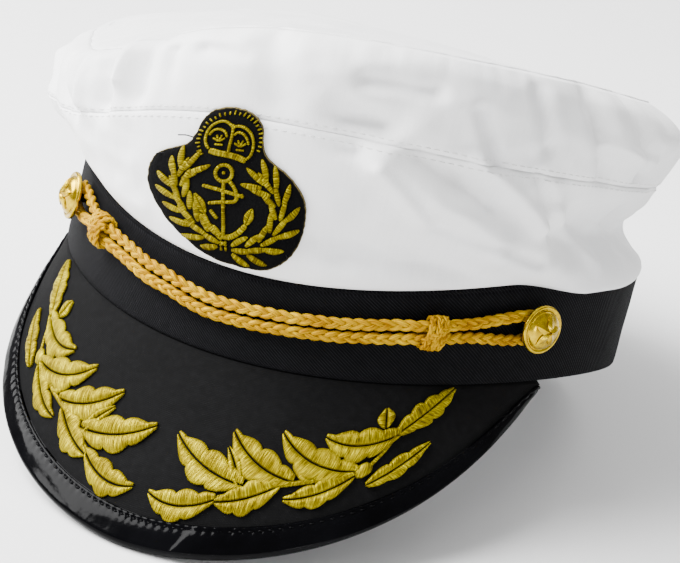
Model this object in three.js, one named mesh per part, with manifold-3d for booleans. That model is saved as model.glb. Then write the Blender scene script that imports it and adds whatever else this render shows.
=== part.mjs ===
// Peaked sailor cap: a soft white crown on a black band, with a cloth peak edged in patent
// binding, embroidered leaf sprays, a felt badge and a corded strap between two buttons.
// Millimetres and degrees. The cap's own frame: origin at the middle of the band's foot,
// front towards -Y, wearer's left towards +X, up +Z. A bearing turns from the front to the left.
import * as THREE from 'three';
import { mergeVertices } from 'three/addons/utils/BufferGeometryUtils.js';
import Module from 'manifold-3d';

const wasm = await Module();
wasm.setup();

// Clearance between pieces that touch on the real cap, and between the two curved crown walls
const fitGap = 0.3;
const seamGap = 0.45;

// Band: the head ring, slightly egg-shaped, with a foot and a top that dip at front and back
const bandHalfLength = 97.3;
const bandHalfWidth = 91.7;
const bandEgg = 0.05;
const bandHeight = 29.3;
const bandWall = 2.5;
const bandFootDip = 6.5;
const bandTopDip = 10.4;

// Crown: soft cloth, widest near its middle seam
const crownHalfLength = 112;
const crownHalfWidth = 102;
const crownHeight = 95;
const crownWall = 2;
const crownOverhang = 2.4;
const crownShiftX = -3;
const tipCentreShare = 0.93;
const tipDoming = 3;
const tipThickness = 1.6;

// Peak: a steep cloth shade hung under the front of the band
const peakHalfWidth = 80.2;
const peakReach = 92.4;
const peakDrop = 65.2;
const peakCornerBack = 32.8;
const peakThickness = 2.2;
const peakCamber = 1.5;
const peakEndBearing = 87;
const peakSideCurve = 1.1;
const peakReachCurve = 0.866;
const peakDropCurve = 0.786;

// Patent binding folded over the rim of the peak
const bindingWidth = 8;
const bindingThickness = 1;
const bindingEndShare = 0.5;
const bindingGap = 0.35;

// Embroidered leaf sprays
const leafLift = 1.3;
const leafSag = 0.4;
const leafLobe = 0.13;
const sprayStemWidth = 2.4;

// Felt badge on the front of the crown
const badgeWidth = 50;
const badgeHeight = 52;
const badgeThickness = 1;
const badgeGap = 0.55;
const badgeBearing = -1;
const badgeRise = 26;
const badgeLean = -15;
const threadLift = 0.8;
const threadWidth = 1.6;

// Corded strap: one loop of cord round both button shanks
const cordRadius = 1.85;
const cordStandOff = 2.25;
const knotLength = 9;
const knotWall = 1.1;
const knotBore = 0.55;

// Buttons
const buttonRadius = 7.5;
const buttonDome = 2.4;
const buttonRim = 1.5;
const shankRadius = 1.6;
const starRadius = 4.6;

// How far the cloth is flattened where it stands, at the back of the band and at the peak's rim
const footFlattening = 1;
const rimFlattening = 0.2;

// Facets
const crownFacets = 80;
const bandFacets = 64;
const peakFacets = 34;
const cordFacets = 8;
const cordRunSteps = 32;
const cordTurnSteps = 8;

// Crown sections, one row every 45 degrees of bearing from the front towards the wearer's left.
// seamOut and tipOut are shares of the crown's half length and half width, seamUp and tipUp are
// shares of its height, lowFull and highFull are the swelling of the two walls as shares of
// crownHalfWidth.
const crownSections = [
  { at: 'front', seamOut: 1.0, seamUp: 0.67, tipOut: 0.97, tipUp: 0.94, lowFull: 0.01, highFull: 0.03 },
  { at: 'front left', seamOut: 0.98, seamUp: 0.71, tipOut: 0.94, tipUp: 1.0, lowFull: 0.0, highFull: 0.03 },
  { at: 'left', seamOut: 0.93, seamUp: 0.7, tipOut: 0.87, tipUp: 0.97, lowFull: -0.02, highFull: 0.08 },
  { at: 'back left', seamOut: 0.92, seamUp: 0.66, tipOut: 0.83, tipUp: 0.92, lowFull: 0.0, highFull: 0.09 },
  { at: 'back', seamOut: 0.96, seamUp: 0.6, tipOut: 0.88, tipUp: 0.89, lowFull: 0.02, highFull: 0.07 },
  { at: 'back right', seamOut: 0.98, seamUp: 0.57, tipOut: 0.91, tipUp: 0.9, lowFull: 0.02, highFull: 0.06 },
  { at: 'right', seamOut: 0.98, seamUp: 0.53, tipOut: 0.94, tipUp: 0.78, lowFull: 0.0, highFull: 0.035 },
  { at: 'front right', seamOut: 0.98, seamUp: 0.49, tipOut: 0.96, tipUp: 0.7, lowFull: 0.0, highFull: 0.02 },
];

// Folds and dents of the crown wall: each runs between two places given by bearing and by
// height as a share of crownHeight. width and push are shares of crownHalfWidth, and a
// negative push is a dent.
const crownFolds = [
  { name: 'main drape', from: [26, 0.66], to: [47, 0.45], width: 0.06, push: 0.028 },
  { name: 'main drape foot', from: [47, 0.45], to: [66, 0.38], width: 0.06, push: 0.026 },
  { name: 'hollow under drape', from: [16, 0.36], to: [44, 0.36], width: 0.07, push: -0.03 },
  { name: 'side hollow', from: [66, 0.54], to: [120, 0.5], width: 0.09, push: -0.05 },
  { name: 'side roll', from: [84, 0.36], to: [150, 0.36], width: 0.06, push: 0.045 },
  { name: 'left pleat', from: [60, 0.95], to: [68, 0.76], width: 0.045, push: -0.03 },
  { name: 'left pleat back', from: [74, 0.96], to: [80, 0.78], width: 0.045, push: -0.03 },
  { name: 'front dent', from: [3, 0.9], to: [6, 0.76], width: 0.06, push: -0.02 },
  { name: 'seam pucker', from: [16, 0.76], to: [24, 0.75], width: 0.05, push: -0.02 },
  { name: 'under seam dent', from: [28, 0.66], to: [36, 0.63], width: 0.05, push: -0.02 },
  { name: 'right pleat', from: [-21, 0.82], to: [-21, 0.64], width: 0.045, push: -0.03 },
  { name: 'right pleat side', from: [-31, 0.72], to: [-30, 0.58], width: 0.045, push: -0.03 },
  { name: 'right corner pleat', from: [-44, 0.66], to: [-42, 0.52], width: 0.045, push: -0.03 },
  { name: 'back drape', from: [150, 0.6], to: [195, 0.4], width: 0.08, push: 0.03 },
  { name: 'back hollow', from: [200, 0.62], to: [235, 0.5], width: 0.08, push: -0.03 },
  { name: 'right drape', from: [250, 0.5], to: [285, 0.4], width: 0.07, push: 0.025 },
];

// Route of the strap round the band, from the right button through its knots to the left button:
// bearing in degrees, and millimetres above the middle of the band
const strapRoute = [
  { at: 'right button', bearing: -46, above: 5.8 },
  { at: 'right knot', bearing: -31, above: 5.4 },
  { at: 'right run', bearing: -14, above: 3 },
  { at: 'front', bearing: 0, above: 1 },
  { at: 'left run', bearing: 20, above: 1.6 },
  { at: 'left knot', bearing: 40, above: 2.6 },
  { at: 'left button', bearing: 61, above: 2.6 },
];

// Leaves of one spray, for the wearer's left; the other spray is its mirror. A base or tip is a
// turn round the peak in degrees and a share of the peak's depth. wide is a share of peakReach.
const sprayLeaves = [
  { name: 'front low', base: [17, 0.68], tip: [3.5, 0.72], wide: 0.092 },
  { name: 'front high', base: [21, 0.63], tip: [4, 0.42], wide: 0.098 },
  { name: 'front bud', base: [20.5, 0.6], tip: [15.3, 0.43], wide: 0.04 },
  { name: 'second low', base: [31, 0.6], tip: [17.5, 0.7], wide: 0.096 },
  { name: 'second high', base: [33, 0.535], tip: [15.5, 0.345], wide: 0.094 },
  { name: 'third low', base: [44, 0.57], tip: [30.8, 0.68], wide: 0.086 },
  { name: 'third high', base: [43, 0.5], tip: [25.6, 0.305], wide: 0.092 },
  { name: 'fourth high', base: [50.5, 0.31], tip: [35.3, 0.29], wide: 0.1 },
  { name: 'high bud', base: [47, 0.26], tip: [44.6, 0.135], wide: 0.045 },
  { name: 'end leaf', base: [50, 0.3], tip: [58, 0.06], wide: 0.075 },
  { name: 'low end leaf', base: [45.5, 0.6], tip: [56.5, 0.43], wide: 0.054 },
  { name: 'berry', base: [46.6, 0.59], tip: [44.4, 0.48], wide: 0.058 },
];

// Stem of one spray, from its front end to its outer end, as turn and depth share
const sprayStem = [[17, 0.67], [26, 0.6], [36, 0.55], [45, 0.52], [49, 0.4], [50, 0.28]];

// Places round the wall and the badge
const rad = (degrees) => degrees * Math.PI / 180;
const mix = (a, b, t) => a + (b - a) * t;
const upAxis = new THREE.Vector3(0, 0, 1);

function bandPoint(bearing, z, out = 0) {
  const t = rad(bearing);
  const place = (angle) => new THREE.Vector3(
    bandHalfWidth * Math.sin(angle) * (1 - bandEgg * Math.cos(angle)),
    -bandHalfLength * Math.cos(angle),
    z,
  );
  const step = 0.01;
  const along = place(t + step).sub(place(t - step)).normalize();
  const outward = along.cross(upAxis).normalize();
  return place(t).addScaledVector(outward, out);
}

function bandOutward(bearing) {
  return bandPoint(bearing, 0, 1).sub(bandPoint(bearing, 0)).normalize();
}

const bandFoot = (bearing) => -bandFootDip * Math.cos(2 * rad(bearing));
const bandTop = (bearing) => bandHeight - bandTopDip * Math.cos(2 * rad(bearing));
const bandMiddle = (bearing) => (bandFoot(bearing) + bandTop(bearing)) / 2;

// Crown surface: rise 0 at the band, 1 at the middle seam, 2 at the edge of the tip
function sectionAt(bearing) {
  const count = crownSections.length;
  const place = ((bearing / 360 % 1) + 1) % 1 * count;
  const first = Math.floor(place);
  const t = place - first;
  const row = (offset) => crownSections[(first + offset + count) % count];
  const smooth = (key) => {
    const [a, b, c, d] = [row(-1)[key], row(0)[key], row(1)[key], row(2)[key]];
    return b + 0.5 * t * (c - a + t * (2 * a - 5 * b + 4 * c - d + t * (3 * (b - c) + d - a)));
  };
  return {
    seamOut: smooth('seamOut'),
    seamUp: smooth('seamUp'),
    tipOut: smooth('tipOut'),
    tipUp: smooth('tipUp'),
    lowFull: smooth('lowFull'),
    highFull: smooth('highFull'),
  };
}

function planPoint(bearing, share, z) {
  const t = rad(bearing);
  return new THREE.Vector3(
    crownShiftX + crownHalfWidth * share * Math.sin(t),
    -crownHalfLength * share * Math.cos(t),
    z,
  );
}

function foldPush(bearing, z) {
  let push = 0;
  for (const fold of crownFolds) {
    const turn = (angle) => ((angle - fold.from[0] + 540) % 360) - 180;
    const toArc = (angle) => rad(turn(angle)) * crownHalfWidth;
    const start = new THREE.Vector2(0, fold.from[1] * crownHeight);
    const end = new THREE.Vector2(toArc(fold.to[0]), fold.to[1] * crownHeight);
    const here = new THREE.Vector2(toArc(bearing), z);
    const line = end.clone().sub(start);
    const along = THREE.MathUtils.clamp(here.clone().sub(start).dot(line) / line.lengthSq(), 0, 1);
    const away = here.distanceTo(start.clone().addScaledVector(line, along));
    push += fold.push * crownHalfWidth * Math.exp(-((away / (fold.width * crownHalfWidth)) ** 2));
  }
  return push;
}

function crownOuter(bearing, rise) {
  const row = sectionAt(bearing);
  const outward = new THREE.Vector3(Math.sin(rad(bearing)), -Math.cos(rad(bearing)), 0);
  const seam = planPoint(bearing, row.seamOut, row.seamUp * crownHeight);
  const foot = bandPoint(bearing, bandTop(bearing) + fitGap);
  let point;
  if (rise < 1) {
    const spread = Math.min(1, rise * 4);
    point = foot.lerp(seam, rise);
    point.addScaledVector(outward, crownOverhang * Math.sin(spread * Math.PI / 2) * (1 - rise));
    point.addScaledVector(outward, row.lowFull * crownHalfWidth * Math.sin(Math.PI * rise));
  } else {
    const t = rise - 1;
    const tip = planPoint(bearing, row.tipOut, row.tipUp * crownHeight);
    point = seam.lerp(tip, t);
    point.addScaledVector(outward, row.highFull * crownHalfWidth * Math.sin(Math.PI * t ** 1.3));
  }
  const fade = Math.min(1, rise * 3);
  return point.addScaledVector(outward, fade * foldPush(bearing, point.z));
}

function crownNormal(bearing, rise) {
  const turn = 1.5;
  const climb = 0.12;
  const low = Math.max(0, rise - climb);
  const high = Math.min(2, rise + climb);
  const across = crownOuter(bearing + turn, rise).sub(crownOuter(bearing - turn, rise));
  const upward = crownOuter(bearing, high).sub(crownOuter(bearing, low));
  return across.cross(upward).normalize();
}

const crownPoint = (bearing, rise, lift) => (
  crownOuter(bearing, rise).addScaledVector(crownNormal(bearing, rise), lift)
);

// Tip of the crown: reach 1 at its edge, 0 at its centre
function tipPoint(bearing, reach, lift) {
  const edge = crownOuter(bearing, 2);
  const rim = edge.z + fitGap + tipThickness;
  const centre = tipCentreShare * crownHeight;
  const z = mix(centre, rim, reach ** 2) + tipDoming * (1 - reach ** 2);
  const x = mix(crownShiftX, edge.x, reach);
  return new THREE.Vector3(x, edge.y * reach, z + lift);
}

// Peak surface: turn -90 to 90 from the wearer's right to the left, depth 0 at the band and 1 at
// the rim
const cornerBearing = Math.acos(peakCornerBack / bandHalfLength) * 180 / Math.PI;

function peakMiddle(turn, depth) {
  const bearing = turn / 90 * cornerBearing;
  const tuck = bandWall / 2;
  const clear = fitGap + 0.6 * peakThickness / 2;
  const inner = bandPoint(bearing, bandFoot(bearing) - clear, -tuck);
  const s = Math.sin(rad(turn));
  const c = Math.max(Math.cos(rad(turn)), 0);
  const outer = new THREE.Vector3(
    peakHalfWidth * Math.sign(s) * Math.abs(s) ** peakSideCurve,
    -peakCornerBack - peakReach * c ** peakReachCurve,
    bandFoot(cornerBearing) - peakDrop * c ** peakDropCurve,
  );
  const camber = bandOutward(bearing).multiplyScalar(0.7).addScaledVector(upAxis, 0.7);
  const bulge = peakCamber * 4 * depth * (1 - depth) * c;
  return inner.lerp(outer, depth).addScaledVector(camber, bulge);
}

// One direction of thickness for each turn, taken a little below the middle of the depth
function peakNormal(turn) {
  const step = 1;
  const slide = 0.05;
  const depth = 0.6;
  const across = peakMiddle(turn + step, depth).sub(peakMiddle(turn - step, depth));
  const down = peakMiddle(turn, depth + slide).sub(peakMiddle(turn, depth - slide));
  return down.cross(across).normalize();
}

const peakPoint = (turn, depth, lift) => (
  peakMiddle(turn, depth).addScaledVector(peakNormal(turn), lift)
);

// Resting attitude: the plane through the back of the band's foot and the rim of the peak
const backContact = bandPoint(180, bandFoot(180) + footFlattening);
const rimReach = (turn) => (
  1 + (bindingGap + bindingThickness) / peakMiddle(turn, 0).distanceTo(peakMiddle(turn, 1))
);
const frontContact = peakPoint(0, 1, -(peakThickness / 2 + bindingGap + bindingThickness));
frontContact.z += rimFlattening;
const restTilt = Math.atan2(backContact.z - frontContact.z, backContact.y - frontContact.y);
const floorNormal = new THREE.Vector3(0, -Math.sin(restTilt), Math.cos(restTilt));
const floorHeight = floorNormal.dot(backContact);

function settle(point) {
  const above = floorNormal.dot(point) - floorHeight;
  if (above < 0) point.addScaledVector(floorNormal, -above);
  return point;
}

// A closed solid through cross-sections, round a closed path or with its two ends capped. Each
// four-sided facet is split along its shorter diagonal. The two halves of an open section run
// opposite each other, point for point, so that its end caps lie inside the section.
function loft(sections, closed = false) {
  const count = sections[0].length;
  const points = sections.flat();
  const positions = points.flatMap((point) => [point.x, point.y, point.z]);
  const index = [];
  const steps = closed ? sections.length : sections.length - 1;
  for (let i = 0; i < steps; i += 1) {
    const here = i * count;
    const next = (i + 1) % sections.length * count;
    for (let j = 0; j < count; j += 1) {
      const k = (j + 1) % count;
      const [a, b, c, d] = [here + j, here + k, next + k, next + j];
      const straight = points[a].distanceTo(points[c]) <= points[b].distanceTo(points[d]);
      index.push(...(straight ? [a, b, c, a, c, d] : [a, b, d, b, c, d]));
    }
  }
  if (!closed) {
    const last = (sections.length - 1) * count;
    for (let j = 0; j + 1 <= count - 2 - j; j += 1) {
      const [a, b, c, d] = [j, j + 1, count - 2 - j, count - 1 - j];
      index.push(a, c, b, a, d, c);
      index.push(last + a, last + b, last + c, last + a, last + c, last + d);
    }
  }
  const geometry = new THREE.BufferGeometry();
  geometry.setAttribute('position', new THREE.Float32BufferAttribute(positions, 3));
  geometry.setIndex(index);
  return closedBody(geometry);
}

// Merged corners, no empty triangles, faces turned outward
function closedBody(geometry) {
  const bare = geometry.clone();
  bare.deleteAttribute('normal');
  bare.deleteAttribute('uv');
  const merged = mergeVertices(bare, 1e-4);
  const place = merged.getAttribute('position');
  const kept = [];
  let volume = 0;
  const corner = (i) => new THREE.Vector3().fromBufferAttribute(place, i);
  for (let i = 0; i < merged.index.count; i += 3) {
    const [a, b, c] = [0, 1, 2].map((k) => merged.index.getX(i + k));
    if (a === b || b === c || c === a) continue;
    volume += corner(a).dot(corner(b).cross(corner(c)));
    kept.push([a, b, c]);
  }
  merged.setIndex(kept.flatMap(([a, b, c]) => (volume > 0 ? [a, b, c] : [a, c, b])));
  return merged;
}

function toManifold(geometry) {
  return new wasm.Manifold(new wasm.Mesh({
    numProp: 3,
    vertProperties: new Float32Array(geometry.getAttribute('position').array),
    triVerts: new Uint32Array(geometry.index.array),
  }));
}

function join(geometries) {
  const body = geometries.map(toManifold).reduce((whole, next) => whole.add(next));
  const mesh = body.getMesh();
  const geometry = new THREE.BufferGeometry();
  geometry.setAttribute('position', new THREE.Float32BufferAttribute(mesh.vertProperties, 3));
  geometry.setIndex(Array.from(mesh.triVerts));
  return closedBody(geometry);
}

// Band
function bandGeometry() {
  const sections = [];
  for (let i = 0; i < bandFacets; i += 1) {
    const bearing = 360 * i / bandFacets;
    const foot = bandFoot(bearing);
    const top = bandTop(bearing);
    sections.push([
      settle(bandPoint(bearing, foot)),
      bandPoint(bearing, mix(foot, top, 0.5)),
      bandPoint(bearing, top),
      bandPoint(bearing, top, -bandWall),
      settle(bandPoint(bearing, foot, -bandWall)),
    ]);
  }
  return loft(sections, true);
}

// Crown wall between two rises, ending short of the piece above by the fit gap
function crownWallGeometry(from, end, outerRows, innerRows) {
  const sections = [];
  for (let i = 0; i < crownFacets; i += 1) {
    const bearing = 360 * i / crownFacets;
    const wallHeight = crownOuter(bearing, from).distanceTo(crownOuter(bearing, end));
    const to = end < 2 ? end - seamGap / wallHeight : end;
    const outer = [];
    const inner = [];
    for (let j = 0; j <= outerRows; j += 1) {
      outer.push(crownPoint(bearing, mix(from, to, j / outerRows), 0));
    }
    for (let j = innerRows; j >= 0; j -= 1) {
      inner.push(crownPoint(bearing, mix(from, to, j / innerRows), -crownWall));
    }
    sections.push([...outer, ...inner]);
  }
  return loft(sections, true);
}

function crownTopGeometry() {
  const topReaches = [0, 0.45, 0.8, 1];
  const underReaches = [1, 0.6, 0];
  const sections = [];
  for (let i = 0; i < crownFacets; i += 1) {
    const bearing = 360 * i / crownFacets;
    const top = topReaches.map((reach) => tipPoint(bearing, reach, 0));
    const under = underReaches.map((reach) => tipPoint(bearing, reach, -tipThickness));
    sections.push([...top, ...under]);
  }
  return loft(sections, true);
}

// Peak and its binding
const peakTurns = Array.from({ length: peakFacets + 1 }, (unused, i) => {
  const t = 2 * i / peakFacets - 1;
  return peakEndBearing * mix(t, Math.sin(Math.PI / 2 * t), 0.85);
});

const bindingShare = (turn) => {
  const depth = peakMiddle(turn, 0).distanceTo(peakMiddle(turn, 1));
  return Math.min(bindingWidth / depth, bindingEndShare);
};

function peakGeometry() {
  const depths = [0, 0.25, 0.5, 0.75, 1];
  const sections = [];
  for (const turn of peakTurns) {
    const upper = depths.map((depth) => peakPoint(turn, depth, peakThickness / 2));
    const lower = depths.toReversed().map((depth) => peakPoint(turn, depth, -peakThickness / 2));
    sections.push([...upper, ...lower]);
  }
  return loft(sections);
}

function bindingGeometry() {
  const near = peakThickness / 2 + bindingGap;
  const far = near + bindingThickness;
  const sections = [];
  for (const turn of peakTurns) {
    const depth = peakMiddle(turn, 0).distanceTo(peakMiddle(turn, 1));
    const start = 1 - bindingShare(turn);
    const edge = 1 + bindingGap / depth;
    const middle = mix(start, edge, 0.5);
    const rim = rimReach(turn);
    const above = [[start, far], [1, far], [rim, near / 2]];
    const below = [[rim, -near / 2], [1, -far], [start, -far]];
    const hollowBelow = [[start, -near], [middle, -near], [edge, -near]];
    const hollowAbove = [[edge, near], [middle, near], [start, near]];
    const corners = [...above, ...below, ...hollowBelow, ...hollowAbove];
    sections.push(corners.map(([share, lift]) => settle(peakPoint(turn, share, lift))));
  }
  return loft(sections);
}

// A padded embroidered leaf between two places of a surface
function leafGeometry(surface, base, tip, width, steps, lobe) {
  const start = new THREE.Vector2(...base);
  const end = new THREE.Vector2(...tip);
  const length = end.distanceTo(start);
  const along = end.clone().sub(start).normalize();
  const side = new THREE.Vector2(-along.y, along.x);
  const sections = [];
  for (let i = 0; i <= steps; i += 1) {
    const t = i / steps;
    const swell = Math.sin(Math.PI * mix(0.1, 0.96, t) ** 0.85);
    const half = width / 2 * swell * (1 + lobe * (i % 2 === 0 ? -1 : 1));
    const place = start.clone().addScaledVector(along, length * t);
    const at = (share, lift) => surface(place.clone().addScaledVector(side, half * share), lift);
    const puff = fitGap + leafSag + (leafLift - leafSag) * swell;
    const vein = puff - leafSag;
    sections.push([at(-1, fitGap), at(-0.6, puff), at(0, vein), at(0.6, puff), at(1, fitGap)]);
  }
  return loft(sections);
}

// A narrow leaf: a ridge that runs to a point at both ends
function sliverGeometry(surface, base, tip, width) {
  const start = new THREE.Vector2(...base);
  const end = new THREE.Vector2(...tip);
  const along = end.clone().sub(start).normalize();
  const side = new THREE.Vector2(-along.y, along.x).multiplyScalar(width / 2);
  const sections = [[0, 0.3], [0.35, 1], [0.7, 0.8], [1, 0.1]].map(([t, swell]) => {
    const place = start.clone().lerp(end, t);
    const at = (share, lift) => surface(place.clone().addScaledVector(side, share * swell), lift);
    return [at(-1, fitGap), at(0, fitGap + threadLift), at(1, fitGap)];
  });
  return loft(sections);
}

// A raised line of thread through places of a surface
function threadGeometry(surface, places, width, lift) {
  const points = places.map((place) => new THREE.Vector2(...place));
  const sections = points.map((point, i) => {
    const before = points[Math.max(i - 1, 0)];
    const after = points[Math.min(i + 1, points.length - 1)];
    const along = after.clone().sub(before).normalize();
    const side = new THREE.Vector2(-along.y, along.x).multiplyScalar(width / 2);
    const at = (share, height) => surface(point.clone().addScaledVector(side, share), height);
    return [at(-1, fitGap), at(0, fitGap + lift), at(1, fitGap)];
  });
  return loft(sections);
}

// Leaf spray on the peak. Flat leaf places are measured in millimetres of arc and depth.
function sprayGeometry(hand) {
  const arc = rad(1) * peakReach;
  const fall = peakMiddle(30, 0).distanceTo(peakMiddle(30, 1));
  const surface = (place, lift) => (
    peakPoint(hand * place.x / arc, place.y / fall, peakThickness / 2 + lift)
  );
  const flat = ([turn, depth]) => [turn * arc, depth * fall];
  const leaves = sprayLeaves.map(({ base, tip, wide }) => (
    leafGeometry(surface, flat(base), flat(tip), wide * peakReach, 6, wide > 0.07 ? leafLobe : 0)
  ));
  const stem = threadGeometry(surface, sprayStem.map(flat), sprayStemWidth, leafSag);
  return join([stem, ...leaves]);
}

// Badge surface: across and up in millimetres from its centre, leaning with the cloth
function badgeSurface(place, lift) {
  const lean = rad(badgeLean);
  const across = place.x * Math.cos(lean) + place.y * Math.sin(lean);
  const up = place.y * Math.cos(lean) - place.x * Math.sin(lean) + badgeRise;
  const foot = crownOuter(badgeBearing, 0);
  const seam = crownOuter(badgeBearing, 1);
  const tip = crownOuter(badgeBearing, 2);
  const low = seam.distanceTo(foot);
  const high = tip.distanceTo(seam);
  const rise = up < low ? up / low : 1 + (up - low) / high;
  const radius = mix(bandHalfLength, crownHalfLength, Math.min(rise, 1));
  const bearing = badgeBearing + across / radius * 180 / Math.PI;
  return crownPoint(bearing, rise, lift);
}

const badgeTop = (place, lift) => badgeSurface(place, badgeGap + badgeThickness + lift);

// Outline of the felt: a broad shield with a round lobe for the crown on top of it
function badgeOutline(angle) {
  const across = Math.sin(angle);
  const up = Math.cos(angle);
  const reach = (centre, halfWidth, halfHeight) => {
    const a = (across / halfWidth) ** 2 + (up / halfHeight) ** 2;
    const b = up * centre / halfHeight ** 2;
    const c = (centre / halfHeight) ** 2 - 1;
    const inside = b * b - a * c;
    return inside > 0 ? (b + Math.sqrt(inside)) / a : 0;
  };
  const shield = reach(-0.13 * badgeHeight, 0.5 * badgeWidth, 0.37 * badgeHeight);
  const lobe = reach(0.28 * badgeHeight, 0.23 * badgeWidth, 0.22 * badgeHeight);
  return Math.max(shield, lobe);
}

function badgePatchGeometry() {
  const spokes = 36;
  const reaches = [0, 0.35, 0.7, 1];
  const sections = [];
  for (let i = 0; i < spokes; i += 1) {
    const angle = 2 * Math.PI * i / spokes;
    const edge = new THREE.Vector2(Math.sin(angle), Math.cos(angle)).multiplyScalar(badgeOutline(angle));
    const at = (reach, lift) => badgeSurface(edge.clone().multiplyScalar(reach), lift);
    const top = reaches.map((reach) => at(reach, badgeGap + badgeThickness));
    const bottom = reaches.toReversed().map((reach) => at(reach, badgeGap));
    sections.push([...top, ...bottom]);
  }
  return loft(sections, true);
}

function arcPlaces(centre, radiusAcross, radiusUp, from, to, steps) {
  const places = [];
  for (let i = 0; i <= steps; i += 1) {
    const angle = rad(mix(from, to, i / steps));
    places.push([centre[0] + radiusAcross * Math.sin(angle), centre[1] + radiusUp * Math.cos(angle)]);
  }
  return places;
}

// Embroidered crown: base roll, outer ring of two arches and the middle post
function badgeCrownGeometry() {
  const w = badgeWidth;
  const foot = 0.19 * w;
  const half = 0.15 * w;
  const line = (places, width = threadWidth) => threadGeometry(badgeTop, places, width, threadLift);
  const base = line([[-half, foot], [0, foot - 0.5], [half, foot]], threadWidth * 1.6);
  const arch = (hand) => line(
    arcPlaces([hand * half / 2, foot + 0.09 * w], hand * half / 1.7, 0.1 * w, -130, 110, 9),
  );
  const post = line([[0, foot], [0, foot + 0.2 * w]]);
  const orb = line([[-0.02 * w, foot + 0.21 * w], [0.02 * w, foot + 0.21 * w]], threadWidth * 1.5);
  return join([base, arch(1), arch(-1), post, orb]);
}

// Embroidered fouled anchor: ring, shank, stock, arms with flukes and a turn of rope
function badgeAnchorGeometry() {
  const w = badgeWidth;
  const line = (places, width = threadWidth) => threadGeometry(badgeTop, places, width, threadLift);
  const ring = line(arcPlaces([0, 0.075 * w], 0.05 * w, 0.055 * w, -170, 170, 10));
  const shank = line([[0, 0.03 * w], [0, -0.1 * w], [0, -0.27 * w]]);
  const stock = line([[-0.1 * w, 0.0], [0, -0.02 * w], [0.11 * w, -0.04 * w]]);
  const arms = line(arcPlaces([0, -0.12 * w], 0.15 * w, 0.15 * w, 105, 255, 10), threadWidth * 1.2);
  const fluke = (hand) => leafGeometry(
    badgeTop,
    [hand * 0.115 * w, -0.21 * w],
    [hand * 0.165 * w, -0.07 * w],
    0.07 * w,
    3,
    0,
  );
  const rope = line(
    [[0.02 * w, 0.04 * w], [0.08 * w, -0.03 * w], [0.05 * w, -0.1 * w], [-0.1 * w, -0.11 * w]],
  );
  return join([shank, ring, stock, arms, fluke(1), fluke(-1), rope]);
}

// One side of the laurel wreath: a curved stem with leaves on both sides
function badgeWreathGeometry(hand) {
  const w = badgeWidth;
  const pairs = 5;
  const reach = [0.33 * w, 0.3 * w];
  const centre = [0, -0.06 * w];
  const from = 172;
  const to = 52;
  const stem = arcPlaces(centre, hand * reach[0], reach[1], from, to, 10);
  const leaves = [];
  for (let i = 0; i < pairs; i += 1) {
    const angle = mix(from - 8, to + 6, i / (pairs - 1));
    const lead = angle - 22;
    const [root] = arcPlaces(centre, hand * reach[0], reach[1], angle, angle, 1);
    for (const spread of [0.84, 1.2]) {
      const [end] = arcPlaces(centre, hand * reach[0] * spread, reach[1] * spread, lead, lead, 1);
      leaves.push(sliverGeometry(badgeTop, root, end, 0.062 * w));
    }
  }
  return join([threadGeometry(badgeTop, stem, threadWidth, threadLift * 0.7), ...leaves]);
}

// Places along the strap
const [rightButton, rightKnot, , , , leftKnot, leftButton] = strapRoute;
const pairHalf = cordRadius + fitGap / 2;
const shankHalf = shankRadius + fitGap + cordRadius;
const bandArc = rad(1) * bandHalfLength;

function strapZ(bearing) {
  const ends = strapRoute.length - 1;
  const after = strapRoute.findIndex((stop, i) => i > 0 && (bearing <= stop.bearing || i === ends));
  const [low, high] = [strapRoute[after - 1], strapRoute[after]];
  const t = THREE.MathUtils.clamp((bearing - low.bearing) / (high.bearing - low.bearing), 0, 1);
  return bandMiddle(bearing) + mix(low.above, high.above, t * t * (3 - 2 * t));
}

// The cord stands further off the band where a knot's wall passes behind it
function cordOut(bearing) {
  const extra = knotWall + knotBore;
  const spread = 0.8 * knotLength / bandArc;
  const near = [rightKnot, leftKnot].map((knot) => (bearing - knot.bearing) / spread);
  return cordStandOff + extra * near.reduce((sum, away) => sum + Math.exp(-away * away), 0);
}

// Half the distance between the two runs: close together between the knots, open at the shanks
function cordHalf(bearing) {
  const pastKnot = 5.5;
  const beforeButton = 3;
  const left = [leftKnot.bearing + pastKnot, leftButton.bearing - beforeButton];
  const right = [pastKnot - rightKnot.bearing, -beforeButton - rightButton.bearing];
  const open = THREE.MathUtils.smoothstep(bearing, ...left);
  return mix(pairHalf, shankHalf, open + THREE.MathUtils.smoothstep(-bearing, ...right));
}

// One loop: forward along the lower run, round the left shank, back along the upper run, round
// the right shank
function cordPlaces() {
  const places = [];
  for (const [hand, from, to] of [[1, rightButton, leftButton], [-1, leftButton, rightButton]]) {
    for (let i = 0; i < cordRunSteps; i += 1) {
      const bearing = mix(from.bearing, to.bearing, i / cordRunSteps);
      const z = strapZ(bearing) - hand * cordHalf(bearing);
      places.push({ bearing, point: bandPoint(bearing, z, cordOut(bearing)) });
    }
    for (let i = 0; i < cordTurnSteps; i += 1) {
      const turn = Math.PI * i / cordTurnSteps;
      const bearing = to.bearing + hand * shankHalf * Math.sin(turn) / bandArc;
      const z = strapZ(to.bearing) - hand * shankHalf * Math.cos(turn);
      places.push({ bearing, point: bandPoint(bearing, z, cordStandOff) });
    }
  }
  return places;
}

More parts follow.
